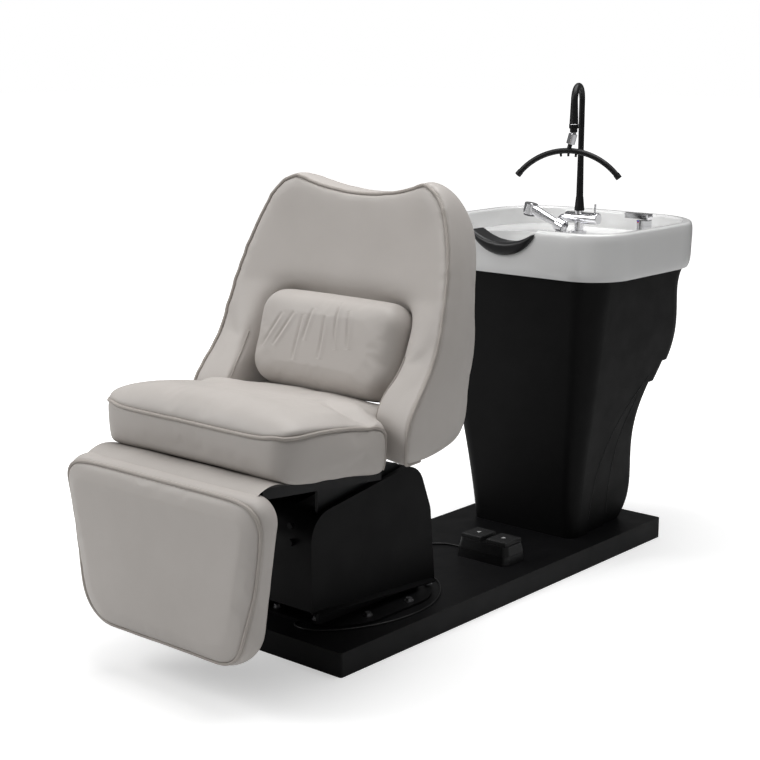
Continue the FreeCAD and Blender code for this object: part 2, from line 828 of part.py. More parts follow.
def makeLegrest():
    wires = []
    full = legPad + legCrown
    for depthShare, insetShare in legLayerShares:
        inset = (legTopZ - legBottomZ) * 0.5 * insetShare
        wires.append(padOutline(legHalfTop, legHalfBottom, legTopZ, legBottomZ, legCornerTop,
                                legCornerBottom,
                                inset, legRearY - full * depthShare))
    pad = loft(wires)
    add("legrest_pad", pad)
    rearY = legRearY + flatGap
    boardLow = legTopZ - legArmLength - legCornerTop
    board = prism(padOutline(legHalfTop * 0.7, legHalfBottom * 0.78, legTopZ - legCornerTop * 0.5, boardLow,
                             legCornerTop * 0.5, legCornerTop * 0.5, 0, rearY), V(0, legBoard, 0))
    arms = []
    armY = rearY + legBoard
    for side in (-1, 1):
        x = side * legArmX
        left = x - legArmThick / 2
        boardTop = legTopZ - legCornerTop * 0.5
        arm = prism(rounded([
            vec(left, rearY, legPivotZ + earHalf),
            vec(left, rearY, boardTop + flatGap),
            vec(left, armY, boardTop + flatGap),
            vec(left, armY, legTopZ - legArmLength),
            vec(left, armY + legArmThick, legTopZ - legArmLength),
            vec(left, legPivotY + earHalf, legPivotZ - legArmWidth),
            vec(left, legPivotY + earHalf, legPivotZ + earHalf)],
            [legArmThick, flatGap, flatGap, legArmThick / 3, legArmThick / 3, legShaft,
             legShaft]), V(legArmThick, 0, 0))
        arm = arm.cut(rod(legShaft + flatGap, vec(x - overrun, legPivotY, legPivotZ),
                          vec(x + overrun, legPivotY, legPivotZ)))
        arms.append(arm)
    add("legrest_board", board)
    add("legrest_arms", Part.makeCompound(arms))
    add("legrest_shaft", rod(legShaft, vec(-legShaftHalf, legPivotY, legPivotZ),
                             vec(legShaftHalf, legPivotY, legPivotZ)))
    # drive lever behind the shaft
    lever = prism(rounded([
        vec(-legLeverThick / 2, -legLeverWidth / 2, -legLever - legLeverWidth / 2),
        vec(-legLeverThick / 2, legLeverWidth / 2, -legLever - legLeverWidth / 2),
        vec(-legLeverThick / 2, legLeverWidth * 0.6, legLeverWidth * 0.6),
        vec(-legLeverThick / 2, -legLeverWidth * 0.6, legLeverWidth * 0.6)], [legLeverWidth * 0.4] * 4),
        V(legLeverThick, 0, 0))
    lever = lever.cut(rod(legShaft + flatGap, vec(-overrun, 0, 0), vec(overrun, 0, 0)))
    pinHalf = legLeverThick / 2 + forkPlate + flatGap * 2
    lever = lever.fuse(rod(legPin, vec(-pinHalf, 0, -legLever),
                           vec(pinHalf, 0, -legLever))).removeSplitter()
    lever.rotate(V(0, 0, 0), V(1, 0, 0), legTravel / 2)
    lever.translate(vec(0, legPivotY, legPivotZ))
    add("legrest_lever", lever)


def legPinPlace():
    half = math.radians(legTravel / 2)
    return vec(0, legPivotY + legLever * math.sin(half), legPivotZ - legLever * math.cos(half))


def legDriveEnd():
    reach = legForkLength + flatGap + legRod + legTubeLength + legMotorRadius * gearboxShare
    return legPinPlace() + V(0, reach, 0)


# linear drive: tube, rod with a slotted fork at the pin, gearbox and motor
def makeDrive(name, pin, along, sag, pinRadius, tubeRadius, tubeLength, rodRadius, forkSide, forkLong, gap,
              motorR, motorLong, leverThick):
    across = V(1, 0, 0).cross(along)
    forkInner = leverThick / 2 + flatGap
    forkOuter = forkInner + forkPlate - flatGap
    slotNear = pinRadius + flatGap
    slotFar = slotNear + sag

    def local(x, a, c):
        return pin + V(x, 0, 0) + along * a + across * c

    def bar(x0, x1, a0, a1, c0, c1):
        points = [local(x0, a0, c0), local(x0, a1, c0), local(x0, a1, c1), local(x0, a0, c1)]
        return prism(Part.makePolygon(points + [points[0]]), V(x1 - x0, 0, 0))

    low = -slotNear - forkPlate
    high = slotFar + forkPlate
    fork = bar(-forkOuter, forkOuter, -forkLong, forkSide, low, high)
    fork = fork.cut(bar(-forkInner, forkInner, -forkLong + forkPlate, forkSide + overrun, low - overrun,
                        high + overrun))
    slotSide = pinRadius + flatGap + sag * 0.14
    fork = fork.cut(bar(-forkOuter - overrun, forkOuter + overrun, -slotSide, slotSide, -slotNear, slotFar))
    rodStart = pin - along * (forkLong - runGap)
    rodEnd = pin - along * (gap + tubeLength - forkPlate)
    shape = fork.fuse(rod(rodRadius, rodStart, rodEnd)).removeSplitter()
    add(name + "_rod", shape)
    mouth = pin - along * gap
    tail = pin - along * (gap + tubeLength)
    barrel = tube(tubeRadius, rodRadius + runGap, mouth, tail)
    add(name + "_tube", barrel)
    housingEnd = tail - along * (motorR * gearboxShare)
    drop = across * (-1 if across.z > 0 else 1)
    motorTop = tail + drop * (tubeRadius + motorR + frameWall)
    box = rod(tubeRadius + frameWall, tail, housingEnd)
    box = box.fuse(rod(motorR, motorTop, motorTop - along * (motorR * gearboxShare)))
    neck = prism(Part.makePolygon([
        tail - V(tubeRadius, 0, 0), tail + V(tubeRadius, 0, 0),
        motorTop + V(tubeRadius, 0, 0), motorTop - V(tubeRadius, 0, 0), tail - V(tubeRadius, 0, 0)]),
        along * (-motorR * gearboxShare))
    add(name + "_gearbox", box.fuse(neck).removeSplitter())
    motor = rod(motorR - frameWall, motorTop, motorTop + along * motorLong)
    motor = motor.fuse(rod(motorR * 0.4, motorTop, motorTop + along * (motorLong + frameWall * 3)))
    add(name + "_motor", motor.removeSplitter())
    return tail, housingEnd


def makeDrives():
    half = math.radians(reclineTravel / 2)
    pin = vec(0, reclineY, reclineZ - crankLength)
    along = reclineChord()
    sag = crankLength * (1 - math.cos(half))
    makeDrive("recline_drive", pin, along, sag, crankPin, driveTube, driveTubeLength, driveRod, forkHalf,
              forkLength,
              forkLength + flatGap + driveRod, motorRadius, motorLength, crankThick)
    sagLeg = legLever * (1 - math.cos(math.radians(legTravel / 2)))
    makeDrive("legrest_drive", legPinPlace(), V(0, -1, 0), sagLeg, legPin, legTube, legTubeLength, legRod,
              legForkHalf, legForkLength,
              legForkLength + flatGap + legRod, legMotorRadius, legMotorLength, legLeverThick)


pedHalfShares = (0.0, 0.28, 0.47, 0.55, 0.63, 0.74, 1.0)
pedRearShares = (0.0, 0.20, 0.36, 0.58, 0.86, 1.0, 0.96)
pedHeightShares = (0.0, 0.33, 0.49, 0.56, 0.64, 0.75, 1.0)


def pedestalLoft(inset, low, high):
    wires = []
    for halfShare, rearShare, heightShare in zip(pedHalfShares, pedRearShares, pedHeightShares):
        z = low + (high - low) * heightShare
        half = pedBottomHalf + (pedTopHalf - pedBottomHalf) * halfShare - inset
        front = pedFrontBottom + (pedFrontTop - pedFrontBottom) * heightShare + inset
        rear = pedFrontBottom + pedDepth + pedRearStep * rearShare - inset
        corner = pedCorner * (1 + heightShare * pedCornerGrowth) - inset * 0.6
        wires.append(rectangle(half, front, rear, z, corner, corner))
    return loft(wires)


# edges of the two recess steps on the pedestal's sides: Y from the front foot, Z above the plate
recessOuter = [(77.0, 0.0), (72.0, 90.0), (76.0, 200.0), (107.0, 294.0), (191.0, 390.0), (330.0, 480.0)]
recessInner = [(172.0, 0.0), (169.0, 100.0), (172.0, 195.0), (192.0, 277.0), (224.0, 357.0), (300.0, 420.0)]


def recessRegion(edge):
    points = [vec(0, pedFrontBottom + y, baseHeight + z) for y, z in edge]
    curve = Part.BSplineCurve()
    curve.interpolate(points)
    far = pedFrontBottom + pedDepth + pedRearStep * 2
    outline = [curve.toShape(),
               Part.LineSegment(points[-1], vec(0, far, points[-1].z)).toShape(),
               Part.LineSegment(vec(0, far, points[-1].z), vec(0, far, baseHeight)).toShape(),
               Part.LineSegment(vec(0, far, baseHeight), points[0]).toShape()]
    return Part.Wire(outline)


def makePedestal():
    low = baseHeight
    body = pedestalLoft(0, low, pedTopZ)
    reach = pedTopHalf * 2
    thick = prism(recessRegion(recessOuter), V(reach, 0, 0))
    thick.translate(V(pedBottomHalf / 2, 0, 0))
    hollow = pedestalLoft(pedWall, low, pedTopZ)
    hollow = hollow.cut(thick).cut(mirrored(thick)).fuse(pedestalLoft(recessWall, low, pedTopZ))
    shell = body
    for edge, depth in ((recessOuter, recessStep), (recessInner, recessStep * 2)):
        region = prism(recessRegion(edge), V(reach, 0, 0))
        region.translate(V(pedBottomHalf / 2, 0, 0))
        skin = region.cut(pedestalLoft(depth, low, pedTopZ))
        shell = shell.cut(skin).cut(mirrored(skin))
    shell = shell.cut(hollow)
    # rear access hatch
    rear = pedFrontBottom + pedDepth
    opening = rounded([
        vec(-hatchHalf, rear - overrun * 2, hatchBottom), vec(hatchHalf, rear - overrun * 2, hatchBottom),
        vec(hatchHalf, rear - overrun * 2, hatchBottom + hatchHeight),
        vec(-hatchHalf, rear - overrun * 2, hatchBottom + hatchHeight)],
        [overrun] * 4)
    cutter = prism(opening, V(0, pedRearStep + overrun * 3, 0))
    hatch = pedestalLoft(0, low, pedTopZ).cut(pedestalLoft(hatchThick, low, pedTopZ))
    smaller = opening.makeOffset2D(-flatGap)
    hatch = hatch.common(prism(smaller, V(0, pedRearStep + overrun * 3, 0)))
    shell = shell.cut(cutter)
    add("pedestal_shell", shell)
    add("pedestal_hatch", hatch)


def basinOutline(inset, z):
    return rectangle(basinHalf - inset, basinFront + inset, basinBack - inset, z,
                     basinCornerFront - inset, basinCornerBack - inset)


def bowlOutline(grow, z, draft):
    return rectangle(bowlHalf + grow - draft, bowlFront - grow + draft, bowlBack + grow - draft, z,
                     bowlCorner + grow - draft * 0.5, bowlCorner + grow - draft * 0.5)


def makeBasin():
    outer = loft([basinOutline(basinFootInset, pedTopZ),
                  basinOutline(basinFootInset * 0.4, pedTopZ + basinTaper),
                  basinOutline(0, (pedTopZ + basinRimZ) / 2), basinOutline(0, basinRimZ - basinTaper),
                  basinOutline(basinTaper * 0.3, basinRimZ)])
    bowlOut = loft([bowlOutline(bowlWall, bowlFloorZ - bowlWall, bowlDraft),
                    bowlOutline(bowlWall, pedTopZ, basinTaper)], True)
    body = outer.fuse(bowlOut)
    recess = loft([basinOutline(basinRimWidth + basinTaper, deckZ),
                   basinOutline(basinRimWidth, basinRimZ + overrun)], True)
    bowl = loft([bowlOutline(0, bowlFloorZ, bowlDraft),
                 bowlOutline(0, (bowlFloorZ + deckZ) / 2, basinTaper),
                 bowlOutline(0, deckZ + overrun, 0)])
    body = body.cut(recess).cut(bowl).removeSplitter()
    rim = [e for e in body.Edges if abs(e.BoundBox.ZMin - basinRimZ) < runGap and e.BoundBox.ZLength < runGap]
    body = body.makeFillet(rimRound, rim)
    notch = rod(notchRadius + flatGap, vec(0, basinFront - overrun, notchCentreZ),
                vec(0, basinFront + saddleRear + overrun, notchCentreZ))
    body = body.cut(notch)
    centreY = (bowlFront + bowlBack) / 2
    drainHole = rod(drainRadius + flatGap, vec(0, centreY, 0), vec(0, centreY, bowlFloorZ + overrun))
    body = body.cut(drainHole)
    add("basin", body.removeSplitter())
    # rubber neck saddle in the notch
    front = basinFront - saddleFront
    crescent = rod(notchRadius, vec(0, front, notchCentreZ), vec(0, basinFront + saddleRear, notchCentreZ))
    crescent = crescent.cut(rod(saddleRadius, vec(0, front - overrun, saddleCentreZ),
                                vec(0, basinFront + saddleRear + overrun, saddleCentreZ)))
    crescent = crescent.cut(block(-basinHalf, basinHalf, front - overrun, basinBack, basinRimZ,
                                  basinRimZ + basinHalf * 2))
    add("neck_rest", crescent)
    # drain fittings
    top = bowlFloorZ + drainLip
    flange = rod(drainFlange, vec(0, centreY, bowlFloorZ), vec(0, centreY, top))
    flange = flange.fuse(rod(drainRadius, vec(0, centreY, bowlFloorZ - bowlWall * 2), vec(0, centreY, top)))
    flange = flange.cut(rod(drainRadius - wasteWall, vec(0, centreY, bowlFloorZ - bowlWall * 3),
                            vec(0, centreY, top + overrun)))
    add("drain_flange", flange)
    strainer = rod(drainRadius - wasteWall - runGap, vec(0, centreY, bowlFloorZ),
                   vec(0, centreY, bowlFloorZ + wasteWall))
    holes = []
    for ring, count in ((0.38, 6), (0.76, 12)):
        for i in range(count):
            turn = 2 * math.pi * i / count
            x = drainRadius * ring * math.cos(turn)
            y = centreY + drainRadius * ring * math.sin(turn)
            holes.append(rod(wasteWall * 0.7, vec(x, y, bowlFloorZ - overrun),
                             vec(x, y, bowlFloorZ + overrun)))
    add("drain_strainer", strainer.cut(holes))
    wasteTop = bowlFloorZ - bowlWall * 2
    wastePath = even([vec(0, centreY, wasteTop), vec(0, centreY, wasteTop - wasteLength),
                      vec(0, centreY + wasteLength, wasteTop - wasteLength)],
                     drainRadius * 2, False)
    add("waste_pipe", sweep(wastePath, drainRadius).cut(sweep(wastePath, drainRadius - wasteWall)))


bendSteps = 6
bendSwellShare = 0.4
nozzleShares = (-0.14, 0.0, 0.14)


def makeTaps():
    # diverter: upright base, cross barrel, side spout and knob with a pin
    x = diverterX
    foot = rod(tapBaseRadius, vec(x, tapY, deckZ), vec(x, tapY, deckZ + tapBaseHeight))
    upright = rod(diverterRadius * 0.8, vec(x, tapY, deckZ),
                  vec(x, tapY, diverterZ + diverterRadius * 1.25))
    barrel = rod(diverterRadius, vec(x - diverterHalf, tapY, diverterZ),
                 vec(x + diverterHalf, tapY, diverterZ))
    add("diverter_body", foot.fuse(upright).fuse(barrel).removeSplitter())
    start = vec(x - diverterHalf, tapY, diverterZ)
    bend = start - V(spoutReach, 0, 0)
    path = rounded([start, bend, vec(bend.x, tapY, deckZ)], [0, spoutRadius * 2, 0], False)
    add("diverter_spout", sweep(path, spoutRadius))
    knobX = x + diverterHalf + flatGap
    knob = rod(diverterRadius * 1.02, vec(knobX, tapY, diverterZ), vec(knobX + knobLength, tapY, diverterZ))
    knob = knob.makeFillet(knobPin, [knob.Edges[0]])
    pinX = knobX + knobLength / 2
    pin = rod(knobPin, vec(pinX, tapY, diverterZ),
              vec(pinX, tapY, diverterZ + diverterRadius + knobPinLength))
    add("diverter_knob", knob.fuse(pin).removeSplitter())
    # column: collar, hooked tube, nut
    collarZ = diverterZ + diverterRadius * 1.25 + flatGap
    collar = Part.makeCone(collarRadius, columnRadius + frameWall, collarHeight, vec(x, tapY, collarZ))
    add("column_collar", collar)
    tubeZ = collarZ + collarHeight
    bendZ = columnTopZ - columnBend - columnRadius
    midZ = (tubeZ + bendZ) / 2
    tip = tapY - columnBend * 2

    def turned(shape):
        shape.rotate(vec(x, tapY, 0), V(0, 0, 1), columnTurn)
        return shape

    column = Part.makeCone(columnFootRadius, columnRadius, midZ - tubeZ, vec(x, tapY, tubeZ))
    column = column.fuse(rod(columnRadius, vec(x, tapY, midZ), vec(x, tapY, bendZ)))
    rings = []
    bendRadius = columnRadius + (columnTipRadius - columnRadius) * bendSwellShare
    for i in range(bendSteps + 1):
        angle = math.pi * i / bendSteps
        centre = vec(x, tapY - columnBend * (1 - math.cos(angle)), bendZ + columnBend * math.sin(angle))
        heading = V(0, -math.sin(angle), math.cos(angle))
        radius = columnRadius + (bendRadius - columnRadius) * i / bendSteps
        rings.append(Part.Wire([Part.Circle(centre, heading, radius).toShape()]))
    column = column.fuse(loft(rings))
    leg = Part.makeCone(bendRadius, columnTipRadius, bendZ - columnTipZ, vec(x, tip, bendZ), V(0, 0, -1))
    add("spa_column", turned(column.fuse(leg).removeSplitter()))
    stepZ = columnTipZ - nutHeight / 2
    nut = rod(nutRadius, vec(x, tip, stepZ), vec(x, tip, columnTipZ))
    flutes = []
    for i in range(12):
        turn = math.radians(30 * i)
        low = vec(x + nutRadius * math.cos(turn), tip + nutRadius * math.sin(turn), stepZ - overrun)
        flutes.append(rod(nutRadius * 0.12, low, low + V(0, 0, nutHeight + overrun * 2)))
    nut = nut.cut(flutes).fuse(rod(nutRadius * 0.8, vec(x, tip, columnTipZ - nutHeight),
                                   vec(x, tip, stepZ)))
    add("column_nut", turned(nut))
    # hoop: leaning swivel link, arched spray tube with a boss, blunt ends and nozzles
    linkTop = vec(x, tip, columnTipZ - nutHeight - flatGap)
    crest = vec(x - stemLean, tip, hoopZ)
    slope = (crest - linkTop).normalize()
    linkStart = linkTop + slope * (linkRadius * 0.4)
    linkEnd = linkStart + slope * linkHeight
    link = rod(linkRadius, linkStart, linkEnd)
    plug = rod(linkRadius * 0.6, linkTop, linkTop - V(0, 0, linkRadius))
    add("hoop_stem", turned(link.fuse(plug).removeSplitter()))
    ringRadius = (hoopHalf ** 2 + hoopDrop ** 2) / (2 * hoopDrop)
    centre = crest - V(0, 0, ringRadius)
    span = math.asin(hoopHalf / ringRadius)
    left = crest + V(-hoopHalf, 0, -hoopDrop)
    right = crest + V(hoopHalf, 0, -hoopDrop)
    hoop = sweep(Part.Wire([Part.Arc(left, crest, right).toShape()]), hoopTube)
    for side, end in ((-1, left), (1, right)):
        heading = V(side * math.cos(span), 0, -math.sin(span))
        hoop = hoop.fuse(rod(hoopTube * 1.14, end - heading * hoopTube, end + heading * (hoopTube * 0.7)))
    boss = rod(stemRadius, linkEnd + slope * flatGap, crest)
    nozzles = [boss]
    for share in nozzleShares:
        radial = V(math.sin(span * share), 0, math.cos(span * share))
        outerPoint = centre + radial * (ringRadius - hoopTube * 0.5)
        innerPoint = centre + radial * (ringRadius - hoopTube - nozzleLength)
        nozzles.append(rod(nozzleRadius, outerPoint, innerPoint))
    add("spray_hoop", turned(hoop.fuse(nozzles).removeSplitter()))
    # mixer: body, turning cap and lever
    mx = mixerX
    foot = rod(tapBaseRadius * 1.1, vec(mx, tapY, deckZ), vec(mx, tapY, deckZ + tapBaseHeight))
    body = rod(mixerRadius, vec(mx, tapY, deckZ), vec(mx, tapY, deckZ + mixerHeight))
    add("mixer_body", foot.fuse(body).removeSplitter())
    capZ = deckZ + mixerHeight + flatGap
    slotY = leverWidth * 0.36
    hinge = mx + mixerRadius * 0.5
    leverZ = capZ + mixerCapHeight + leverThick * 0.5
    hingeZ = leverZ + leverThick * 0.6
    cap = rod(mixerRadius, vec(mx, tapY, capZ), vec(mx, tapY, capZ + mixerCapHeight))
    ear = block(hinge - leverEar, hinge + leverEar, tapY - slotY * 0.7, tapY + slotY * 0.7,
                capZ + mixerCapHeight * 0.5, hingeZ + leverPin * 2)
    ear = ear.cut(rod(leverPin + runGap, vec(hinge, tapY - slotY, hingeZ),
                      vec(hinge, tapY + slotY, hingeZ)))
    add("mixer_cap", cap.fuse(ear).removeSplitter())
    reach = hinge - leverLength
    tail = hinge + leverWidth * 0.37
    plan = rounded([
        vec(reach, tapY - leverWidth * 0.3, leverZ), vec(tail, tapY - leverWidth / 2, leverZ),
        vec(tail, tapY + leverWidth / 2, leverZ), vec(reach, tapY + leverWidth * 0.3, leverZ)],
        [leverWidth * 0.25] * 4)
    lever = prism(plan, V(0, 0, leverThick * 1.6))
    room = leverEar + leverPin
    lever = lever.cut(block(hinge - room, hinge + room + leverPin * 0.7, tapY - slotY, tapY + slotY,
                            leverZ - overrun, hingeZ + leverPin * 3.4))
    lever = lever.fuse(rod(leverPin, vec(hinge, tapY - slotY - leverPin, hingeZ),
                           vec(hinge, tapY + slotY + leverPin, hingeZ)))
    add("mixer_lever", lever.removeSplitter())
    # handset in its cradle
    hx = handsetX
    cradle = rod(tapBaseRadius, vec(hx, handsetY, deckZ), vec(hx, handsetY, deckZ + tapBaseHeight))
    lean = math.radians(handsetTilt)
    axis = V(-math.sin(lean), 0, math.cos(lean))
    seat = vec(hx, handsetY, deckZ + cradleHeight * 0.62)
    cup = rod(cradleRadius, seat - axis * (cradleHeight * 0.25), seat + axis * (cradleHeight * 0.5))
    post = rod(cradleRadius * 0.7, vec(hx, handsetY, deckZ), seat)
    cradle = cradle.fuse(cup).fuse(post)
    cradle = cradle.cut(rod(handsetRadius + flatGap, seat, seat + axis * cradleHeight))
    add("handset_cradle", cradle.removeSplitter())
    begin = seat + axis * flatGap
    handle = Part.makeCone(handsetRadius, handsetTip, handsetLength - cradleHeight * 0.5,
                           begin + axis * (cradleHeight * 0.5), axis)
    handle = handle.fuse(rod(handsetRadius, begin, begin + axis * (cradleHeight * 0.5)))
    nose = begin + axis * handsetLength
    face = V(-math.cos(lean) * 0.6, 0, -1).normalize()
    head = rod(headRadius, nose - face * (headLength * 0.4), nose + face * (headLength * 0.5))
    rim = nose + face * (headLength * 0.5)
    plate = rod(headRadius * 0.86, rim, rim + face * (headLength * 0.14))
    add("handset_body", handle.fuse(head).cut(plate).removeSplitter())
    add("handset_face", plate)


def makePedal():
    x0, x1 = pedalX - pedalHalfX, pedalX + pedalHalfX
    y0, y1 = pedalY - pedalHalfY, pedalY + pedalHalfY
    z = baseHeight

    def plan(inset, level):
        points = [vec(x0 + inset, y0 + inset, level), vec(x1 - inset, y0 + inset, level),
                  vec(x1 - inset, y1 - inset, level), vec(x0 + inset, y1 - inset, level)]
        return even(points, max(pedalCorner - inset * 0.5, pedalWall))

    lower = loft([plan(0, z), plan(pedalWall, z + pedalBaseHeight)], True)
    lower = lower.cut(loft([plan(pedalWall, z + pedalWall),
                            plan(pedalWall * 2, z + pedalBaseHeight + overrun)], True))
    add("pedal_base", lower)
    top = z + pedalTopHeight
    seam = z + pedalBaseHeight + flatGap
    upper = loft([plan(pedalWall, seam), plan(pedalWall * 3, top)], True)
    upper = upper.cut(loft([plan(pedalWall * 2, seam - overrun * 0.1),
                            plan(pedalWall * 4, top - pedalWall)], True))
    keys = []
    for side in (-1, 1):
        cx = pedalX + side * keyOffset
        key = block(cx - keyHalfX, cx + keyHalfX, pedalY - keyHalfY, pedalY + keyHalfY, top - pedalWall * 2,
                    top + keyHeight)
        well = block(cx - keyHalfX - keyGap, cx + keyHalfX + keyGap, pedalY - keyHalfY - keyGap,
                     pedalY + keyHalfY + keyGap,
                     top - pedalWall * 4, top + keyHeight * 2)
        upper = upper.cut(well)
        edges = [e for e in key.Edges if abs(e.CenterOfMass.z - top - keyHeight) < runGap]
        key = key.makeFillet(pedalWall, edges)
        keys.append(key)
    add("pedal_cover", upper)
    add("pedal_key_left", keys[0])
    add("pedal_key_right", keys[1])


def routeWire(route, z, label):
    points = [vec(x, y, z) for x, y in route]
    radii = [0.0] * len(points)
    for i in range(1, len(points) - 1):
        back = points[i - 1] - points[i]
        ahead = points[i + 1] - points[i]
        turn = math.pi - back.getAngle(ahead)
        radii[i] = 0.45 * min(back.Length, ahead.Length) / math.tan(turn / 2)
    print(label, "radii", [round(r) for r in radii[1:-1]])
    return rounded(points, radii, False)


def makeCables():
    for name, route, radius, z in (("pedal_cable", pedalRoute, cableRadius, cableZ),
                                   ("floor_cable", loopRoute, loopRadius, loopZ)):
        path = routeWire(route, z, name)
        shape = sweep(path, radius)
        print(name, "length", round(path.Length), "volume ratio",
              round(shape.Volume / (math.pi * radius ** 2 * path.Length), 4))
        add(name, shape)
    startX, startY = pedalRoute[0]
    wall = pedalX - pedalHalfX
    relief = Part.makeCone(reliefRadius, cableRadius * 1.3, wall - startX,
                           vec(wall, startY, baseHeight + reliefRadius), V(-1, 0, 0))
    add("cable_relief", relief)


makeBase()
makeTower()
makeSeat()
makeBackrest()
makePillow()
makeLegrest()
makeDrives()
makePedestal()
makeBasin()
makeTaps()
makePedal()
makeCables()

for name, shape in nodes.items():
    shape.exportStep("parts/" + name + ".step")
    solids = shape.Solids
    print(name, len(solids), "valid" if shape.isValid() else "INVALID",
          round(sum(s.Volume for s in solids) / 1000, 1))
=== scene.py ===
import json
import math
import bpy
import bmesh
import numpy as np
from mathutils import Matrix, Vector
from mathutils.bvhtree import BVHTree
from mathutils.kdtree import KDTree


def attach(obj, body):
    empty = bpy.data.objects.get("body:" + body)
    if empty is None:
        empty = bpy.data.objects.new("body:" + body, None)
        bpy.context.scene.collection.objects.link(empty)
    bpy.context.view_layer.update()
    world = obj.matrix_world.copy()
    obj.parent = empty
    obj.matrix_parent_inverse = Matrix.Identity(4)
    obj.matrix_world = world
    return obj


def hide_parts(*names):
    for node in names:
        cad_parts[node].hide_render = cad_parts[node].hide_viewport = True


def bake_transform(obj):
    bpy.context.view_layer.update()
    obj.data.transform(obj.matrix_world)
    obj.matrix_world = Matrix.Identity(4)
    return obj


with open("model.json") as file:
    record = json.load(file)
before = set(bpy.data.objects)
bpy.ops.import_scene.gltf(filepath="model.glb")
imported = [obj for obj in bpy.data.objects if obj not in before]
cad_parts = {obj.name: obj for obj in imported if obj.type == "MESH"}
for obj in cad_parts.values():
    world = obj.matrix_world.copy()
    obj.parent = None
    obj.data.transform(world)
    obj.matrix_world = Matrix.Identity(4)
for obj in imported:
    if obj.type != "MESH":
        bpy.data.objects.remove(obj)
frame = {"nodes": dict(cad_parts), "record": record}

scene = bpy.context.scene
cad = frame["nodes"]
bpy.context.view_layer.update()  # box of the solids, before any dressing
sides = ((-1, "Left"), (1, "Right"))
perMetre = 1000  # for values in millimetres
print("frame loaded:", len(cad), "nodes")

# camera, set to the photograph's angle
cameraSetup = {
    "place": (2.6214, -3.3215, 1.4831), "azimuth": 40.73, "tilt": 12.28, "lens": 75.87, "sensor": 36,
}


def makeCamera(spec):
    data = bpy.data.cameras.new("studioCamera")
    camera = bpy.data.objects.new("studioCamera", data)
    scene.collection.objects.link(camera)
    turn = math.radians(spec["azimuth"])
    tilt = math.radians(spec["tilt"])
    back = Vector((math.sin(turn) * math.cos(tilt), -math.cos(turn) * math.cos(tilt), math.sin(tilt)))
    camera.location = spec["place"]
    camera.rotation_mode = "QUATERNION"
    camera.rotation_quaternion = (-back).to_track_quat("-Z", "Y")
    data.lens = spec["lens"]
    data.sensor_width = spec["sensor"]
    data.dof.use_dof = False
    scene.camera = camera


makeCamera(cameraSetup)
print("camera placed")

# node helpers for the finishes


def startFinish(name):
    material = bpy.data.materials.new(name)
    material.use_nodes = True
    tree = material.node_tree
    shader = tree.nodes["Principled BSDF"]
    coords = tree.nodes.new("ShaderNodeTexCoord").outputs["Object"]
    return material, tree, shader, coords


def feed(tree, shader, socket, source):
    tree.links.new(source, shader.inputs[socket])


def setInputs(node, values):
    for socket, value in values.items():
        node.inputs[socket].default_value = value


def cloud(tree, coords, scale, detail=3.0, roughness=0.55):
    node = tree.nodes.new("ShaderNodeTexNoise")
    setInputs(node, {"Scale": scale, "Detail": detail, "Roughness": roughness})
    tree.links.new(coords, node.inputs["Vector"])
    return node.outputs["Fac"]


def cells(tree, coords, scale):
    node = tree.nodes.new("ShaderNodeTexVoronoi")
    setInputs(node, {"Scale": scale})
    tree.links.new(coords, node.inputs["Vector"])
    return node.outputs["Distance"]


def twoTone(tree, factor, dark, light, darkAt=0.3, lightAt=0.7):
    node = tree.nodes.new("ShaderNodeValToRGB")
    stops = ((darkAt, dark), (lightAt, light))
    for element, (place, colour) in zip(node.color_ramp.elements, stops):
        element.position = place
        element.color = (*colour, 1.0)
    tree.links.new(factor, node.inputs["Fac"])
    return node.outputs["Color"]


def spread(tree, factor, low, high, lowIn=0.3, highIn=0.7):
    node = tree.nodes.new("ShaderNodeMapRange")
    setInputs(node, {"From Min": lowIn, "From Max": highIn, "To Min": low, "To Max": high})
    tree.links.new(factor, node.inputs["Value"])
    return node.outputs["Result"]


def relief(tree, height, strength, distance, under=None):
    node = tree.nodes.new("ShaderNodeBump")
    setInputs(node, {"Strength": strength, "Distance": distance})
    tree.links.new(height, node.inputs["Height"])
    if under is not None:
        tree.links.new(under, node.inputs["Normal"])
    return node.outputs["Normal"]


def stretched(tree, coords, scale):
    node = tree.nodes.new("ShaderNodeMapping")
    setInputs(node, {"Scale": scale})
    tree.links.new(coords, node.inputs["Vector"])
    return node.outputs["Vector"]


# finishes


def leatherFinish(name, light, dark, grain=430.0):
    material, tree, shader, coords = startFinish(name)
    tone = cloud(tree, coords, scale=5.0, detail=4.0)
    feed(tree, shader, "Base Color", twoTone(tree, tone, dark, light, darkAt=0.32, lightAt=0.68))
    feed(tree, shader, "Roughness", spread(tree, cloud(tree, coords, scale=38.0), low=0.44, high=0.56))
    pores = relief(tree, cells(tree, coords, grain), strength=0.10, distance=0.0006)
    waves = cloud(tree, coords, scale=24.0, detail=4.0)
    feed(tree, shader, "Normal", relief(tree, waves, strength=0.10, distance=0.003, under=pores))
    setInputs(shader, {"Specular IOR Level": 0.32, "Sheen Weight": 0.06})
    return material


def coatedFinish(name, light, dark, rough, peel=260.0, strength=0.10, level=0.4):
    material, tree, shader, coords = startFinish(name)
    tone = cloud(tree, coords, scale=3.5, detail=5.0)
    feed(tree, shader, "Base Color", twoTone(tree, tone, dark, light, lightAt=0.72))
    wear = cloud(tree, coords, scale=14.0, detail=5.0)
    feed(tree, shader, "Roughness", spread(tree, wear, low=rough - 0.05, high=rough + 0.06))
    skin = cloud(tree, coords, scale=peel, detail=2.0)
    feed(tree, shader, "Normal", relief(tree, skin, strength, distance=0.0005))
    setInputs(shader, {"Specular IOR Level": level})
    return material


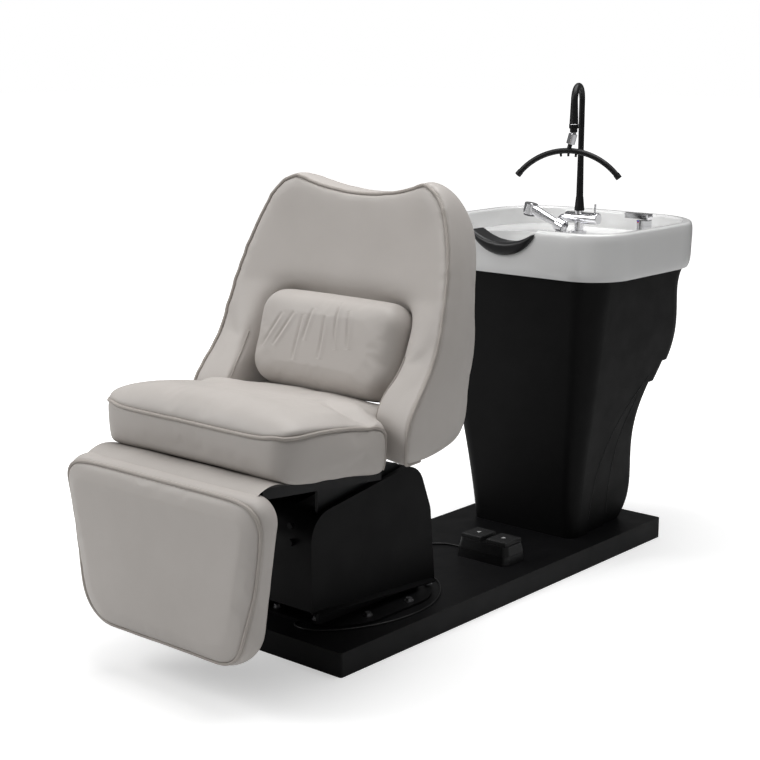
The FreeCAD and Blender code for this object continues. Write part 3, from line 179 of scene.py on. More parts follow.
def chromeFinish(name, colour, rough, smudge=0.05, shadeShare=0.93):
    material, tree, shader, coords = startFinish(name)
    shade = tuple(shadeShare * part for part in colour)
    feed(tree, shader, "Base Color", twoTone(tree, cloud(tree, coords, scale=18.0), shade, colour))
    touch = cloud(tree, coords, scale=55.0, detail=5.0)
    feed(tree, shader, "Roughness", spread(tree, touch, low=rough, high=rough + smudge))
    setInputs(shader, {"Metallic": 1.0})
    return material


def brushedFinish(name, colour, rough, along, shadeShare=0.7):
    material, tree, shader, coords = startFinish(name)
    lines = cloud(tree, stretched(tree, coords, along), scale=60.0, detail=4.0)
    shade = tuple(shadeShare * part for part in colour)
    feed(tree, shader, "Base Color", twoTone(tree, lines, shade, colour))
    feed(tree, shader, "Roughness", spread(tree, lines, low=rough - 0.06, high=rough + 0.1))
    feed(tree, shader, "Normal", relief(tree, lines, strength=0.12, distance=0.0004))
    setInputs(shader, {"Metallic": 1.0})
    return material


def glazeFinish(name, light, dark):
    material, tree, shader, coords = startFinish(name)
    feed(tree, shader, "Base Color", twoTone(tree, cloud(tree, coords, scale=2.4), dark, light))
    feed(tree, shader, "Roughness", spread(tree, cloud(tree, coords, scale=9.0), low=0.14, high=0.22))
    waves = cloud(tree, coords, scale=16.0, detail=2.0)
    feed(tree, shader, "Normal", relief(tree, waves, strength=0.03, distance=0.002))
    setInputs(shader, {"Coat Weight": 0.5, "Coat Roughness": 0.05})
    return material


def plyFinish(name, light, dark):
    material, tree, shader, coords = startFinish(name)
    along = stretched(tree, coords, (22.0, 1.6, 22.0))
    grain = cloud(tree, along, scale=4.0, detail=6.0, roughness=0.65)
    feed(tree, shader, "Base Color", twoTone(tree, grain, dark, light, darkAt=0.34, lightAt=0.66))
    feed(tree, shader, "Normal", relief(tree, grain, strength=0.15, distance=0.0006))
    setInputs(shader, {"Roughness": 0.62})
    return material


def dottedFinish(name, light, dark, dots):
    material, tree, shader, coords = startFinish(name)
    bumps = cells(tree, coords, dots)
    feed(tree, shader, "Base Color", twoTone(tree, cloud(tree, coords, scale=30.0), dark, light))
    feed(tree, shader, "Normal", relief(tree, bumps, strength=0.55, distance=0.0012))
    feed(tree, shader, "Roughness", spread(tree, cloud(tree, coords, scale=80.0), low=0.5, high=0.66))
    return material


finishes = {
    "leather": leatherFinish("greigeLeather", (0.486, 0.455, 0.429), (0.456, 0.426, 0.400)),
    # piping and inner seam threads: leather darker than the main tone, painted shade standing in for the thin
    # shadow line along the piping
    "piping": leatherFinish("pipingLeatherPaintedShade", (0.400, 0.366, 0.336), (0.365, 0.332, 0.303), grain=620.0),
    "basePaint": coatedFinish("satinBase", (0.0050, 0.0050, 0.0055), (0.0038, 0.0038, 0.0042),
                              rough=0.46, level=0.14),
    "towerPaint": coatedFinish("satinTower", (0.0034, 0.0034, 0.0038), (0.0026, 0.0026, 0.0029),
                               rough=0.44, strength=0.08, level=0.10),
    "framePaint": coatedFinish("frameCoat", (0.0085, 0.0085, 0.0095), (0.0060, 0.0060, 0.0068),
                               rough=0.5, level=0.22),
    "pedestal": coatedFinish("mattePedestal", (0.0046, 0.0046, 0.0048), (0.0036, 0.0036, 0.0038),
                             rough=0.50, peel=420.0, level=0.10),
    "zinc": chromeFinish("zincBolt", (0.42, 0.42, 0.43), rough=0.28, smudge=0.14),
    "steel": brushedFinish("turnedSteel", (0.56, 0.56, 0.57), rough=0.3, along=(40.0, 1.0, 1.0)),
    "brass": chromeFinish("bushBrass", (0.62, 0.46, 0.20), rough=0.3, smudge=0.1),
    "ply": plyFinish("stainedPly", (0.022, 0.019, 0.017), (0.010, 0.009, 0.008)),
    "shell": coatedFinish("backShell", (0.011, 0.011, 0.012), (0.008, 0.008, 0.009),
                          rough=0.55, peel=520.0, strength=0.18, level=0.25),
    "rod": chromeFinish("groundRod", (0.70, 0.70, 0.72), rough=0.12, smudge=0.06),
    "anodised": brushedFinish("driveTube", (0.22, 0.22, 0.23), rough=0.36, along=(1.0, 1.0, 40.0)),
    "motor": coatedFinish("driveCase", (0.020, 0.020, 0.022), (0.013, 0.013, 0.014),
                          rough=0.5, peel=380.0, strength=0.2),
    "ceramic": glazeFinish("whiteGlaze", (0.72, 0.72, 0.716), (0.695, 0.695, 0.691)),
    "rubber": coatedFinish("neckRubber", (0.0090, 0.0090, 0.0096), (0.0066, 0.0066, 0.0072),
                           rough=0.34, peel=180.0, strength=0.06, level=0.35),
    "chrome": chromeFinish("tapChrome", (0.80, 0.80, 0.82), rough=0.05),
    "waste": coatedFinish("wastePlastic", (0.35, 0.35, 0.35), (0.30, 0.30, 0.30),
                          rough=0.45, peel=300.0, strength=0.08),
    "hose": coatedFinish("columnBlack", (0.0062, 0.0062, 0.0068), (0.0046, 0.0046, 0.0050),
                         rough=0.40, peel=340.0, level=0.30),
    "sprayFace": dottedFinish("sprayFace", (0.10, 0.10, 0.105), (0.07, 0.07, 0.074), dots=260.0),
    "pedalCase": coatedFinish("pedalCase", (0.0062, 0.0062, 0.0068), (0.0046, 0.0046, 0.0050),
                              rough=0.34, peel=300.0, strength=0.12, level=0.35),
    "keyRubber": dottedFinish("keyRubber", (0.0095, 0.0095, 0.0100), (0.0065, 0.0065, 0.0070), dots=420.0),
    "cable": coatedFinish("cableJacket", (0.0105, 0.0105, 0.011), (0.008, 0.008, 0.0085),
                          rough=0.42, peel=500.0),
    "hot": coatedFinish("hotMark", (0.45, 0.02, 0.02), (0.38, 0.015, 0.015),
                        rough=0.35, peel=300.0, strength=0.03),
    "cold": coatedFinish("coldMark", (0.02, 0.06, 0.45), (0.015, 0.05, 0.38),
                         rough=0.35, peel=300.0, strength=0.03),
    "seam": coatedFinish("panelSeam", (0.020, 0.020, 0.0205), (0.016, 0.016, 0.0165),
                         rough=0.45, peel=300.0, strength=0.05, level=0.3),
    "mark": coatedFinish("paleMark", (0.55, 0.55, 0.55), (0.48, 0.48, 0.48),
                         rough=0.5, peel=300.0, strength=0.05),
}

slotFinish = {
    "base_paint": "basePaint", "tower_paint": "towerPaint", "frame_paint": "framePaint",
    "fastener_steel": "zinc", "shaft_steel": "steel", "bush_brass": "brass", "seat_leather": "leather",
    "back_leather": "leather", "pillow_leather": "leather", "legrest_leather": "leather", "ply": "ply",
    "back_shell": "shell", "drive_rod": "rod", "drive_tube": "anodised", "drive_case": "motor",
    "pedestal_plastic": "pedestal", "ceramic": "ceramic", "neck_rubber": "rubber", "chrome": "chrome",
    "waste_plastic": "waste", "column_black": "hose", "hoop_black": "hose", "spray_face": "sprayFace",
    "pedal_case": "pedalCase", "key_rubber": "keyRubber", "cable_black": "cable",
}


def dress(piece, finish):
    piece.data.materials.clear()
    piece.data.materials.append(finishes[finish])


for entry in frame["record"]["subparts"]:
    dress(cad[entry["node"]], slotFinish[entry["material_slot"]])

# shared piece helpers


def settle(piece, body, slot, finish, *stoodFor):
    dress(piece, finish)
    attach(piece, body)
    if stoodFor:
        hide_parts(*stoodFor)


def newPiece(name, data):
    piece = bpy.data.objects.new(name, data)
    scene.collection.objects.link(piece)
    return piece


def evaluatedMesh(holder):
    depsgraph = bpy.context.evaluated_depsgraph_get()
    return bpy.data.meshes.new_from_object(holder.evaluated_get(depsgraph))


def applied(piece):
    mesh = evaluatedMesh(piece)
    piece.modifiers.clear()
    piece.data = mesh


def readPoints(mesh):
    points = np.zeros(len(mesh.vertices) * 3, np.float32)
    mesh.vertices.foreach_get("co", points)
    return points.reshape(-1, 3).astype(float)


def writePoints(mesh, points):
    mesh.vertices.foreach_set("co", points.astype(np.float32).ravel())
    mesh.update()


def readNormals(mesh):
    normals = np.zeros(len(mesh.vertices) * 3, np.float32)
    mesh.vertex_normals.foreach_get("vector", normals)
    return normals.reshape(-1, 3).astype(float)


def smoothShade(mesh):
    mesh.polygons.foreach_set("use_smooth", [True] * len(mesh.polygons))
    mesh.update()


def relaxed(mesh, rounds):
    bm = bmesh.new()
    bm.from_mesh(mesh)
    for _ in range(rounds):
        bmesh.ops.smooth_vert(bm, verts=bm.verts, factor=0.5,
                              use_axis_x=True, use_axis_y=True, use_axis_z=True)
    bm.to_mesh(mesh)
    bm.free()


def meshPiece(name, bm, smooth=False):
    bmesh.ops.recalc_face_normals(bm, faces=bm.faces)
    mesh = bpy.data.meshes.new(name)
    bm.to_mesh(mesh)
    bm.free()
    if smooth:
        smoothShade(mesh)
    return newPiece(name, mesh)


def nurbsCurve(name, points, order, steps, closed=False):
    curve = bpy.data.curves.new(name, "CURVE")
    curve.dimensions = "3D"
    curve.resolution_u = steps
    spline = curve.splines.new("NURBS")
    spline.points.add(len(points) - 1)
    for place, point in zip(spline.points, points):
        place.co = (*point, 1.0)
    spline.order_u = order
    spline.use_endpoint_u = not closed
    spline.use_cyclic_u = closed
    return curve


def tubePiece(name, curve, radius):
    curve.bevel_depth = radius
    curve.bevel_resolution = 4
    curve.use_fill_caps = True
    return newPiece(name, curve)


# cables lying on the base plate, same route points as the solids, in millimetres
cables = {
    "pedalCable": {
        "node": "pedal_cable", "z": 0.0635, "radius": 0.0025, "length": 0.368, "endNodes": ["cable_relief"],
        "route": [(-22, 96), (-46, 97), (-72, 88), (-96, 68), (-112, 40), (-118, 6), (-114, -32), (-104, -70),
                  (-88, -106), (-66, -138), (-46, -164), (-40, -180), (-40, -195)],
    },
    "floorCable": {
        "node": "floor_cable", "z": 0.0632, "radius": 0.0022, "length": 0.736, "endNodes": [],
        "route": [(36, -195), (36, -178), (48, -163), (70, -156), (94, -160), (120, -178), (146, -204),
                  (176, -242), (200, -288), (214, -340), (219, -396), (215, -452), (202, -506), (182, -556),
                  (154, -602), (120, -638), (86, -656), (58, -656), (42, -648), (36, -638), (36, -625)],
    },
}


def makeCable(name, spec):
    points = [(x / perMetre, y / perMetre, spec["z"]) for x, y in spec["route"]]
    cable = tubePiece(name, nurbsCurve(name, points, order=3, steps=8), spec["radius"])
    settle(cable, "base", "cable_black", "cable", spec["node"])


for cableName, cableSpec in cables.items():
    makeCable(cableName, cableSpec)
print("cables laid")

# padded pieces start from their solids, swell under pressure, then get seams, folds and piping
cloth = {"quality": 4, "tension": 20.0, "compression": 12.0, "frames": 20}
weldGap = 0.00002
leastMove = 1e-9  # keeps a share of no move from dividing by zero
pressReach = 3  # widths from a line that a press still moves
pressFade = 0.6  # power of the sine that thins a press towards its ends
easeStep = 0.6  # share of the way to the neighbours' mean in each round


def softCopy(node, name, spec):
    mesh = cad[node].data.copy()
    piece = newPiece(name, mesh)
    bm = bmesh.new()
    bm.from_mesh(mesh)
    bmesh.ops.remove_doubles(bm, verts=bm.verts, dist=weldGap)
    bm.to_mesh(mesh)
    bm.free()
    step = piece.modifiers.new("remesh", "REMESH")
    step.mode = "VOXEL"
    step.voxel_size = spec["voxel"]
    applied(piece)
    relaxed(piece.data, spec["soften"])
    inward = readPoints(piece.data) - readNormals(piece.data) * spec["shrink"]
    writePoints(piece.data, inward)
    return piece


def swell(piece, spec):
    home = readPoints(piece.data)
    settings = piece.modifiers.new("fill", "CLOTH").settings
    settings.quality = cloth["quality"]
    settings.use_pressure = True
    settings.uniform_pressure_force = spec["pressure"]
    settings.effector_weights.gravity = 0.0
    settings.tension_stiffness = cloth["tension"]
    settings.compression_stiffness = cloth["compression"]
    settings.bending_stiffness = spec["stiff"]
    for number in range(1, cloth["frames"] + 1):
        scene.frame_set(number)
    applied(piece)
    scene.frame_set(1)
    move = readPoints(piece.data) - home
    reach = np.linalg.norm(move, axis=1)
    share = spec["take"] * np.minimum(1.0, spec["cap"] / np.maximum(reach, leastMove))
    writePoints(piece.data, home + move * share[:, None])


def subdivided(piece):
    step = piece.modifiers.new("finer", "SUBSURF")
    step.levels = 1
    step.render_levels = 1
    applied(piece)


def surfaceTree(piece):
    bm = bmesh.new()
    bm.from_mesh(piece.data)
    tree = BVHTree.FromBMesh(bm)
    bm.free()
    return tree


def smoothLine(points, closed, count):
    holder = newPiece("line", nurbsCurve("line", points, order=4, steps=count, closed=closed))
    line = [vertex.co.copy() for vertex in evaluatedMesh(holder).vertices]
    bpy.data.objects.remove(holder)
    return line


def laidOn(tree, points, closed=False):
    return [tree.find_nearest(point)[0] for point in smoothLine(points, closed, count=10)]


def lineIndex(line):
    index = KDTree(len(line))
    for number, point in enumerate(line):
        index.insert(point, number)
    index.balance()
    return index


def pressLine(piece, line, width, depth, fade=False):
    index = lineIndex(line)
    points = readPoints(piece.data)
    normals = readNormals(piece.data)
    last = len(line) - 1
    for number, point in enumerate(points):
        _, place, gap = index.find(point)
        if gap < width * pressReach:
            hold = math.sin(math.pi * place / last) ** pressFade if fade else 1.0
            points[number] -= normals[number] * depth * hold * math.exp(-(gap / width) ** 2)
    writePoints(piece.data, points)


def easeLine(piece, line, width, rounds):
    index = lineIndex(line)
    points = readPoints(piece.data)
    weight = np.array([math.exp(-(index.find(point)[2] / width) ** 2) for point in points])
    edges = np.zeros(len(piece.data.edges) * 2, np.int32)
    piece.data.edges.foreach_get("vertices", edges)
    first, second = edges.reshape(-1, 2).T
    count = np.bincount(edges, minlength=len(points))
    for _ in range(rounds):
        total = np.zeros_like(points)
        np.add.at(total, first, points[second])
        np.add.at(total, second, points[first])
        points += (total / count[:, None] - points) * (easeStep * weight)[:, None]
    writePoints(piece.data, points)


def onSide(side, points):
    return [(side * x, y, z) for x, y, z in points]


def bothSides(right):
    return onSide(-1, right[:0:-1]) + right


def pipeAlong(name, line, radius, closed=False):
    thin = line[::2] if closed else line[:-1:2] + [line[-1]]
    return tubePiece(name, nurbsCurve(name, thin, order=4, steps=3, closed=closed), radius)


def piped(piece, name, points, spec, body, slot, closed=False):
    line = laidOn(surfaceTree(piece), points, closed)
    pressLine(piece, line, spec["seamWidth"], spec["seamDepth"])
    settle(pipeAlong(name, line, spec["piping"], closed), body, slot, "piping")


# legrest: piping round its front face, full crown
legrest = {
    "voxel": 0.006, "soften": 3, "shrink": 0.001, "pressure": 4.0, "cap": 0.010, "stiff": 12.0, "take": 0.4,
    "piping": 0.0042, "seamWidth": 0.006, "seamDepth": 0.0035,
    "halfTop": 0.326, "halfBottom": 0.262, "top": 0.507, "bottom": 0.114, "front": -1.036,
    "waistShare": 0.955,
    # the edge of the face as shares of the half width, with the drop from the top or the rise from the bottom
    "upper": [(0.0, 0.0), (0.5, 0.0), (0.78, 0.002), (0.93, 0.014), (1.0, 0.055), (0.99, 0.12)],
    "lower": [(1.05, 0.12), (1.0, 0.065), (0.9, 0.018), (0.72, 0.0), (0.4, 0.0), (0.0, 0.0)],
}


def makeLegrest(spec):
    pad = softCopy("legrest_pad", "legrestPad", spec)
    swell(pad, spec)
    subdivided(pad)
    top, bottom, front = spec["top"], spec["bottom"], spec["front"]
    right = [(spec["halfTop"] * share, front, top - drop) for share, drop in spec["upper"]]
    right.append((spec["halfTop"] * spec["waistShare"], front, (top + bottom) / 2))
    right += [(spec["halfBottom"] * share, front, bottom + rise) for share, rise in spec["lower"]]
    points = right + onSide(-1, right[-2:0:-1])
    piped(pad, "legrestPiping", points, spec, "legrest", "legrest_leather", closed=True)
    smoothShade(pad.data)
    settle(pad, "legrest", "legrest_leather", "leather", "legrest_pad")
    print("legrest padded", len(pad.data.polygons), "faces")


makeLegrest(legrest)

# seat: front roll, piping along its upper edge, a dimple near each wing, a rear tongue under the pillow
seat = {
    "voxel": 0.006, "soften": 5, "shrink": 0.002, "pressure": 4.0, "cap": 0.012, "stiff": 14.0, "take": 0.4,
    "piping": 0.0042, "seamWidth": 0.006, "seamDepth": 0.0035, "settleRounds": 10,
    "edge": [(0.0, -0.948, 0.624), (0.10, -0.948, 0.623), (0.19, -0.946, 0.622), (0.245, -0.940, 0.622),
             (0.282, -0.922, 0.624), (0.302, -0.890, 0.627), (0.314, -0.850, 0.629), (0.321, -0.784, 0.626),
             (0.321, -0.696, 0.616), (0.319, -0.655, 0.606), (0.314, -0.628, 0.590), (0.310, -0.618, 0.565),
             (0.308, -0.618, 0.535), (0.300, -0.625, 0.500)],
    "dimple": [(0.318, -0.668, 0.612), (0.285, -0.680, 0.622), (0.248, -0.688, 0.630), (0.205, -0.680, 0.637),
               (0.150, -0.664, 0.642)],
    "dimpleWidth": 0.024, "dimpleDepth": 0.013, "creaseWidth": 0.006, "creaseDepth": 0.004, "creaseStep": 4,
    "wide": ((-0.800, -0.720, -0.650, -0.612, -0.580), (1.0, 1.012, 1.050, 1.055, 1.0)),
    "rearFrom": -0.600, "rearStretch": 2.9, "tongueTop": 0.600,
    "thinAlong": ((-0.585, -0.545), (1.0, 0.32)),
    "fillAcross": ((0.0, 0.10, 0.20, 0.235, 0.27, 0.32), (-0.009, -0.001, 0.015, 0.019, 0.009, 0.0)),
    "fillAlong": ((-0.80, -0.70, -0.62), (0.0, 0.3, 1.0)),
    "puffAcross": ((0.10, 0.20, 0.27, 0.33), (0.0, 0.006, 0.008, 0.002)),
    "puffAlong": ((-0.95, -0.90, -0.76, -0.68), (0.0, 1.0, 1.0, 0.0)),
    "topFrom": ((0.545, 0.595), (0.0, 1.0)),
}


def reshapeSeat(piece, spec):
    x, y, z = readPoints(piece.data).T
    top = np.interp(z, *spec["topFrom"])
    fill = np.interp(abs(x), *spec["fillAcross"]) * np.interp(y, *spec["fillAlong"])
    puff = np.interp(abs(x), *spec["puffAcross"]) * np.interp(y, *spec["puffAlong"])
    start = spec["rearFrom"]
    reach = np.where(y > start, start + (y - start) * spec["rearStretch"], y)
    low = np.minimum(z - spec["tongueTop"], 0.0)
    high = np.maximum(z - spec["tongueTop"], 0.0) + top * (fill + puff)
    rise = spec["tongueTop"] + low * np.interp(reach, *spec["thinAlong"]) + high
    writePoints(piece.data, np.stack([x * np.interp(y, *spec["wide"]), reach, rise], axis=1))


def makeSeat(spec):
    pad = softCopy("seat_cushion", "seatPad", spec)
    reshapeSeat(pad, spec)
    relaxed(pad.data, spec["settleRounds"])
    swell(pad, spec)
    subdivided(pad)
    for side, _ in sides:
        dimple = laidOn(surfaceTree(pad), onSide(side, spec["dimple"]))
        pressLine(pad, dimple, spec["dimpleWidth"], spec["dimpleDepth"], fade=True)
        crease = laidOn(surfaceTree(pad), dimple[::spec["creaseStep"]])
        pressLine(pad, crease, spec["creaseWidth"], spec["creaseDepth"], fade=True)
    piped(pad, "seatPiping", bothSides(spec["edge"]), spec, "base", "seat_leather")
    smoothShade(pad.data)
    settle(pad, "base", "seat_leather", "leather", "seat_cushion")
    print("seat padded", len(pad.data.polygons), "faces")


makeSeat(seat)

# leather apron that closes the gap between the seat and the legrest
apron = {
    "half": 0.282, "columns": 40, "rows": 12, "ripple": 0.0012, "rippleTurn": 9.0, "ripplePower": 8,
    "run": [(-0.900, 0.5160), (-0.920, 0.5235), (-0.942, 0.5285), (-0.965, 0.5290), (-0.986, 0.5240),
            (-1.004, 0.5160), (-1.016, 0.5070)],
    "bendStart": (0.0, -0.935, 0.524), "bendEnd": (0.0, -0.985, 0.524),
}


def makeApron(spec):
    line = smoothLine([(0.0, y, z) for y, z in spec["run"]], False, spec["rows"])
    last = len(line) - 1
    bm = bmesh.new()
    grid = []
    for column in range(spec["columns"] + 1):
        share = 2 * column / spec["columns"] - 1
        x = spec["half"] * share
        sag = spec["ripple"] * math.sin(spec["rippleTurn"] * share) * (1 - share ** spec["ripplePower"])
        grid.append([bm.verts.new((x, point.y, point.z + sag * math.sin(math.pi * row / last)))
                     for row, point in enumerate(line)])
    for near, far in zip(grid, grid[1:]):
        for row in range(last):
            bm.faces.new((near[row], near[row + 1], far[row + 1], far[row]))
    sheet = meshPiece("legrestApron", bm, smooth=True)
    dress(sheet, "leather")
    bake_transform(sheet)


makeApron(apron)

# backrest: winged bucket, piping round the front face, a soft roll over the pillow, seams on the inner wings
backrest = {
    "voxel": 0.0075, "soften": 5, "shrink": 0.003, "pressure": 4.0, "cap": 0.010, "stiff": 16.0, "take": 0.24,
    "piping": 0.0042, "seamWidth": 0.007, "seamDepth": 0.004, "settleRounds": 8,
    "innerSeam": 0.0018, "innerDepth": 0.002,
    "edge": [(0.0, -0.347, 1.100), (0.06, -0.348, 1.103), (0.12, -0.352, 1.113), (0.17, -0.358, 1.126),
             (0.205, -0.362, 1.134), (0.240, -0.369, 1.122), (0.270, -0.376, 1.100), (0.292, -0.386, 1.070),
             (0.309, -0.397, 1.038), (0.324, -0.410, 0.998), (0.337, -0.425, 0.956), (0.349, -0.448, 0.890),
             (0.360, -0.477, 0.812), (0.364, -0.512, 0.748), (0.364, -0.548, 0.688), (0.365, -0.585, 0.636),
             (0.366, -0.605, 0.598), (0.364, -0.611, 0.560), (0.360, -0.608, 0.528), (0.345, -0.588, 0.500),
             (0.338, -0.560, 0.492), (0.336, -0.520, 0.490)],
    "roll": [(0.0, -0.405, 0.846), (0.09, -0.408, 0.846), (0.178, -0.420, 0.846), (0.222, -0.438, 0.828),
             (0.240, -0.455, 0.780), (0.240, -0.478, 0.730)],
    "rollWidth": 0.050, "rollRounds": 90,
    "inner": [(0.243, -0.506, 0.745), (0.243, -0.528, 0.700), (0.243, -0.556, 0.650), (0.243, -0.588, 0.600),
              (0.243, -0.594, 0.572)],
    "rim": ((0.592, 0.681, 0.775, 0.828), (-0.557, -0.499, -0.455, -0.438)),  # heights, then the rim's y
    "forward": ((0.49, 0.57, 0.63, 0.70, 0.76, 0.86), (0.0, 0.030, 0.039, 0.040, 0.034, 0.0)),
    "wingAcross": ((0.18, 0.22, 0.25, 0.362), (0.0, 1.0, 1.0, 0.0)), "wingDeep": ((0.0, 0.10), (1.0, 0.0)),
    "horn": (0.235, -0.330, 1.090), "hornReach": 0.060, "hornLift": 0.008,
}


def reshapeWings(piece, spec):
    x, y, z = readPoints(piece.data).T
    deep = np.interp(y - np.interp(z, *spec["rim"]), *spec["wingDeep"])
    move = np.interp(z, *spec["forward"]) * np.interp(abs(x), *spec["wingAcross"]) * deep
    across, along, up = spec["horn"]
    gap = np.sqrt((abs(x) - across) ** 2 + (y - along) ** 2 + (z - up) ** 2)
    puff = spec["hornLift"] * np.exp(-(gap / spec["hornReach"]) ** 2)
    writePoints(piece.data, np.stack([x, y - move, z], axis=1) + readNormals(piece.data) * puff[:, None])


def makeBackrest(spec):
    pad = softCopy("backrest_cushion", "backrestPad", spec)
    roll = laidOn(surfaceTree(pad), bothSides(spec["roll"]))
    easeLine(pad, roll, spec["rollWidth"], spec["rollRounds"])
    reshapeWings(pad, spec)
    relaxed(pad.data, spec["settleRounds"])
    swell(pad, spec)
    subdivided(pad)
    piped(pad, "backrestPiping", bothSides(spec["edge"]), spec, "backrest", "back_leather")
    for side, label in sides:
        line = laidOn(surfaceTree(pad), onSide(side, spec["inner"]))
        pressLine(pad, line, spec["seamWidth"], spec["innerDepth"])
        settle(pipeAlong("innerSeam" + label, line, spec["innerSeam"]), "backrest", "back_leather", "piping")
    smoothShade(pad.data)
    settle(pad, "backrest", "back_leather", "leather", "backrest_cushion")
    print("backrest padded", len(pad.data.polygons), "faces")


makeBackrest(backrest)

# lumbar pillow: folds gather towards its left half
pillow = {
    "voxel": 0.0045, "soften": 14, "shrink": -0.003,
    "pressure": 4.0, "cap": 0.008, "stiff": 14.0, "take": 0.4,
    "frontY": -0.511, "frontZ": 0.716, "slope": 0.312, "foldWidth": 0.0042, "foldDepth": 0.0032,
    "ridgeShift": 0.009, "ridgeWidth": 0.0060, "ridgeDepth": 0.0018,
    "folds": [
        [(-0.134, 0.797), (-0.149, 0.770), (-0.164, 0.744), (-0.184, 0.708)],
        [(-0.094, 0.803), (-0.112, 0.774), (-0.130, 0.742), (-0.146, 0.715)],
        [(-0.064, 0.800), (-0.068, 0.755), (-0.070, 0.719), (-0.070, 0.688)],
        [(-0.036, 0.816), (-0.044, 0.780), (-0.048, 0.738)],
        [(0.008, 0.804), (0.011, 0.770), (0.014, 0.738), (0.012, 0.700)],
        [(0.042, 0.845), (0.046, 0.830), (0.046, 0.797), (0.050, 0.762), (0.060, 0.726)],
        [(0.078, 0.822), (0.090, 0.778), (0.098, 0.732)],
    ],
}


def makePillow(spec):
    pad = softCopy("lumbar_pillow", "lumbarPillow", spec)
    swell(pad, spec)
    subdivided(pad)
    tree = surfaceTree(pad)
    for fold in spec["folds"]:
        places = [(x, spec["frontY"] + (z - spec["frontZ"]) * spec["slope"], z) for x, z in fold]
        pressLine(pad, laidOn(tree, places), spec["foldWidth"], spec["foldDepth"], fade=True)
        ridge = laidOn(tree, [(x + spec["ridgeShift"], y, z) for x, y, z in places])
        pressLine(pad, ridge, spec["ridgeWidth"], -spec["ridgeDepth"], fade=True)
    smoothShade(pad.data)
    settle(pad, "backrest", "pillow_leather", "leather", "lumbar_pillow")
    print("pillow padded", len(pad.data.polygons), "faces")


makePillow(pillow)

# neck rest: the solid's crescent with rounded rubber edges
neckRest = {"voxel": 0.003, "soften": 8, "shrink": -0.003}


def makeNeckRest(spec):
    rest = softCopy("neck_rest", "neckRest", spec)
    subdivided(rest)
    smoothShade(rest.data)
    settle(rest, "base", "neck_rubber", "rubber", "neck_rest")
    print("neck rest rounded", len(rest.data.polygons), "faces")


makeNeckRest(neckRest)

# curved panel lines down each side of the pedestal
panelLines = {
    "radius": 0.0009,
    "outer": [(0.234, 0.649, 0.498), (0.226, 0.570, 0.440), (0.214, 0.505, 0.355), (0.200, 0.465, 0.270),
              (0.187, 0.448, 0.190), (0.176, 0.446, 0.100)],
    "inner": [(0.216, 0.623, 0.440), (0.209, 0.572, 0.364), (0.197, 0.548, 0.288), (0.176, 0.545, 0.177),
              (0.166, 0.553, 0.095)],
}


def makePanelLines(spec):
    tree = surfaceTree(cad["pedestal_shell"])
    for ring in ("outer", "inner"):
        for side, label in sides:
            line = laidOn(tree, onSide(side, spec[ring]))
            seam = pipeAlong(ring + "PanelLine" + label, line, spec["radius"])
            settle(seam, "base", "pedestal_plastic", "seam")
    print("panel lines laid")


makePanelLines(panelLines)

# small fittings that the solids leave out
fittings = {
    "ringMajor": 0.0132, "ringMinor": 0.0009, "ringLift": 0.0006, "ringSides": 12, "ringSteps": 48,
    "arrow": 0.0075, "arrowThick": 0.0006, "arrowTailShare": 0.6,
    "dot": 0.0036, "dotThick": 0.0008, "dotFacing": (-0.35, -0.94, 0.0), "dotDrop": 0.016, "dotSteps": 12,
    "nut": 0.0085, "nutThick": 0.006, "nutPlaces": [(0.058, 0.324), (0.058, 0.282)],
    "nutTurn": 5 * math.pi / 3, "nutSteps": 5,  # from the first of six corners to the last
}


def nodeBox(name):
    points = readPoints(cad[name].data)
    return points.min(axis=0), points.max(axis=0)


def crownOf(name, rise=0.0):
    low, high = nodeBox(name)
    return (low[0] + high[0]) / 2, (low[1] + high[1]) / 2, high[2] + rise


def ringPiece(name, centre, spec):
    bm = bmesh.new()
    count = spec["ringSides"]
    angles = [2 * math.pi * number / count for number in range(count)]
    loop = [bm.verts.new((spec["ringMajor"] + spec["ringMinor"] * math.cos(angle), 0.0,
                          spec["ringMinor"] * math.sin(angle))) for angle in angles]
    edges = [bm.edges.new((loop[number], loop[(number + 1) % count])) for number in range(count)]
    bmesh.ops.spin(bm, geom=loop + edges, cent=(0.0, 0.0, 0.0), axis=(0.0, 0.0, 1.0), angle=2 * math.pi,
                   steps=spec["ringSteps"], use_merge=True)
    bmesh.ops.translate(bm, verts=bm.verts, vec=centre)
    return meshPiece(name, bm, smooth=True)


def facing(direction, centre):
    turn = Vector(direction).to_track_quat("Z", "Y").to_matrix().to_4x4()
    return Matrix.Translation(centre) @ turn


def prismPiece(name, outline, thick, place):
    bm = bmesh.new()
    low = [bm.verts.new((x, y, -thick)) for x, y in outline]
    high = [bm.verts.new((x, y, thick)) for x, y in outline]
    bm.faces.new(low[::-1])
    bm.faces.new(high)
    for number in range(len(outline)):
        after = (number + 1) % len(outline)
        bm.faces.new((low[number], low[after], high[after], high[number]))
    bm.transform(place)
    return meshPiece(name, bm)


def arcOutline(radius, start, end, steps):
    angles = [start + (end - start) * number / steps for number in range(steps + 1)]
    return [(radius * math.cos(angle), radius * math.sin(angle)) for angle in angles]


def makeColumnRing(spec):
    ring = ringPiece("columnRing", crownOf("column_nut", spec["ringLift"]), spec)
    settle(ring, "column", "chrome", "chrome")


def makeKeyArrows(spec):
    reach = spec["arrow"]
    tail = reach * spec["arrowTailShare"]
    for way, body in ((-1, "key_left"), (1, "key_right")):
        node = "pedal_" + body
        outline = [(way * reach, 0.0), (-way * tail, reach), (-way * tail, -reach)]
        mark = prismPiece(node + "Arrow", outline, spec["arrowThick"], Matrix.Translation(crownOf(node)))
        settle(mark, body, "key_rubber", "mark")


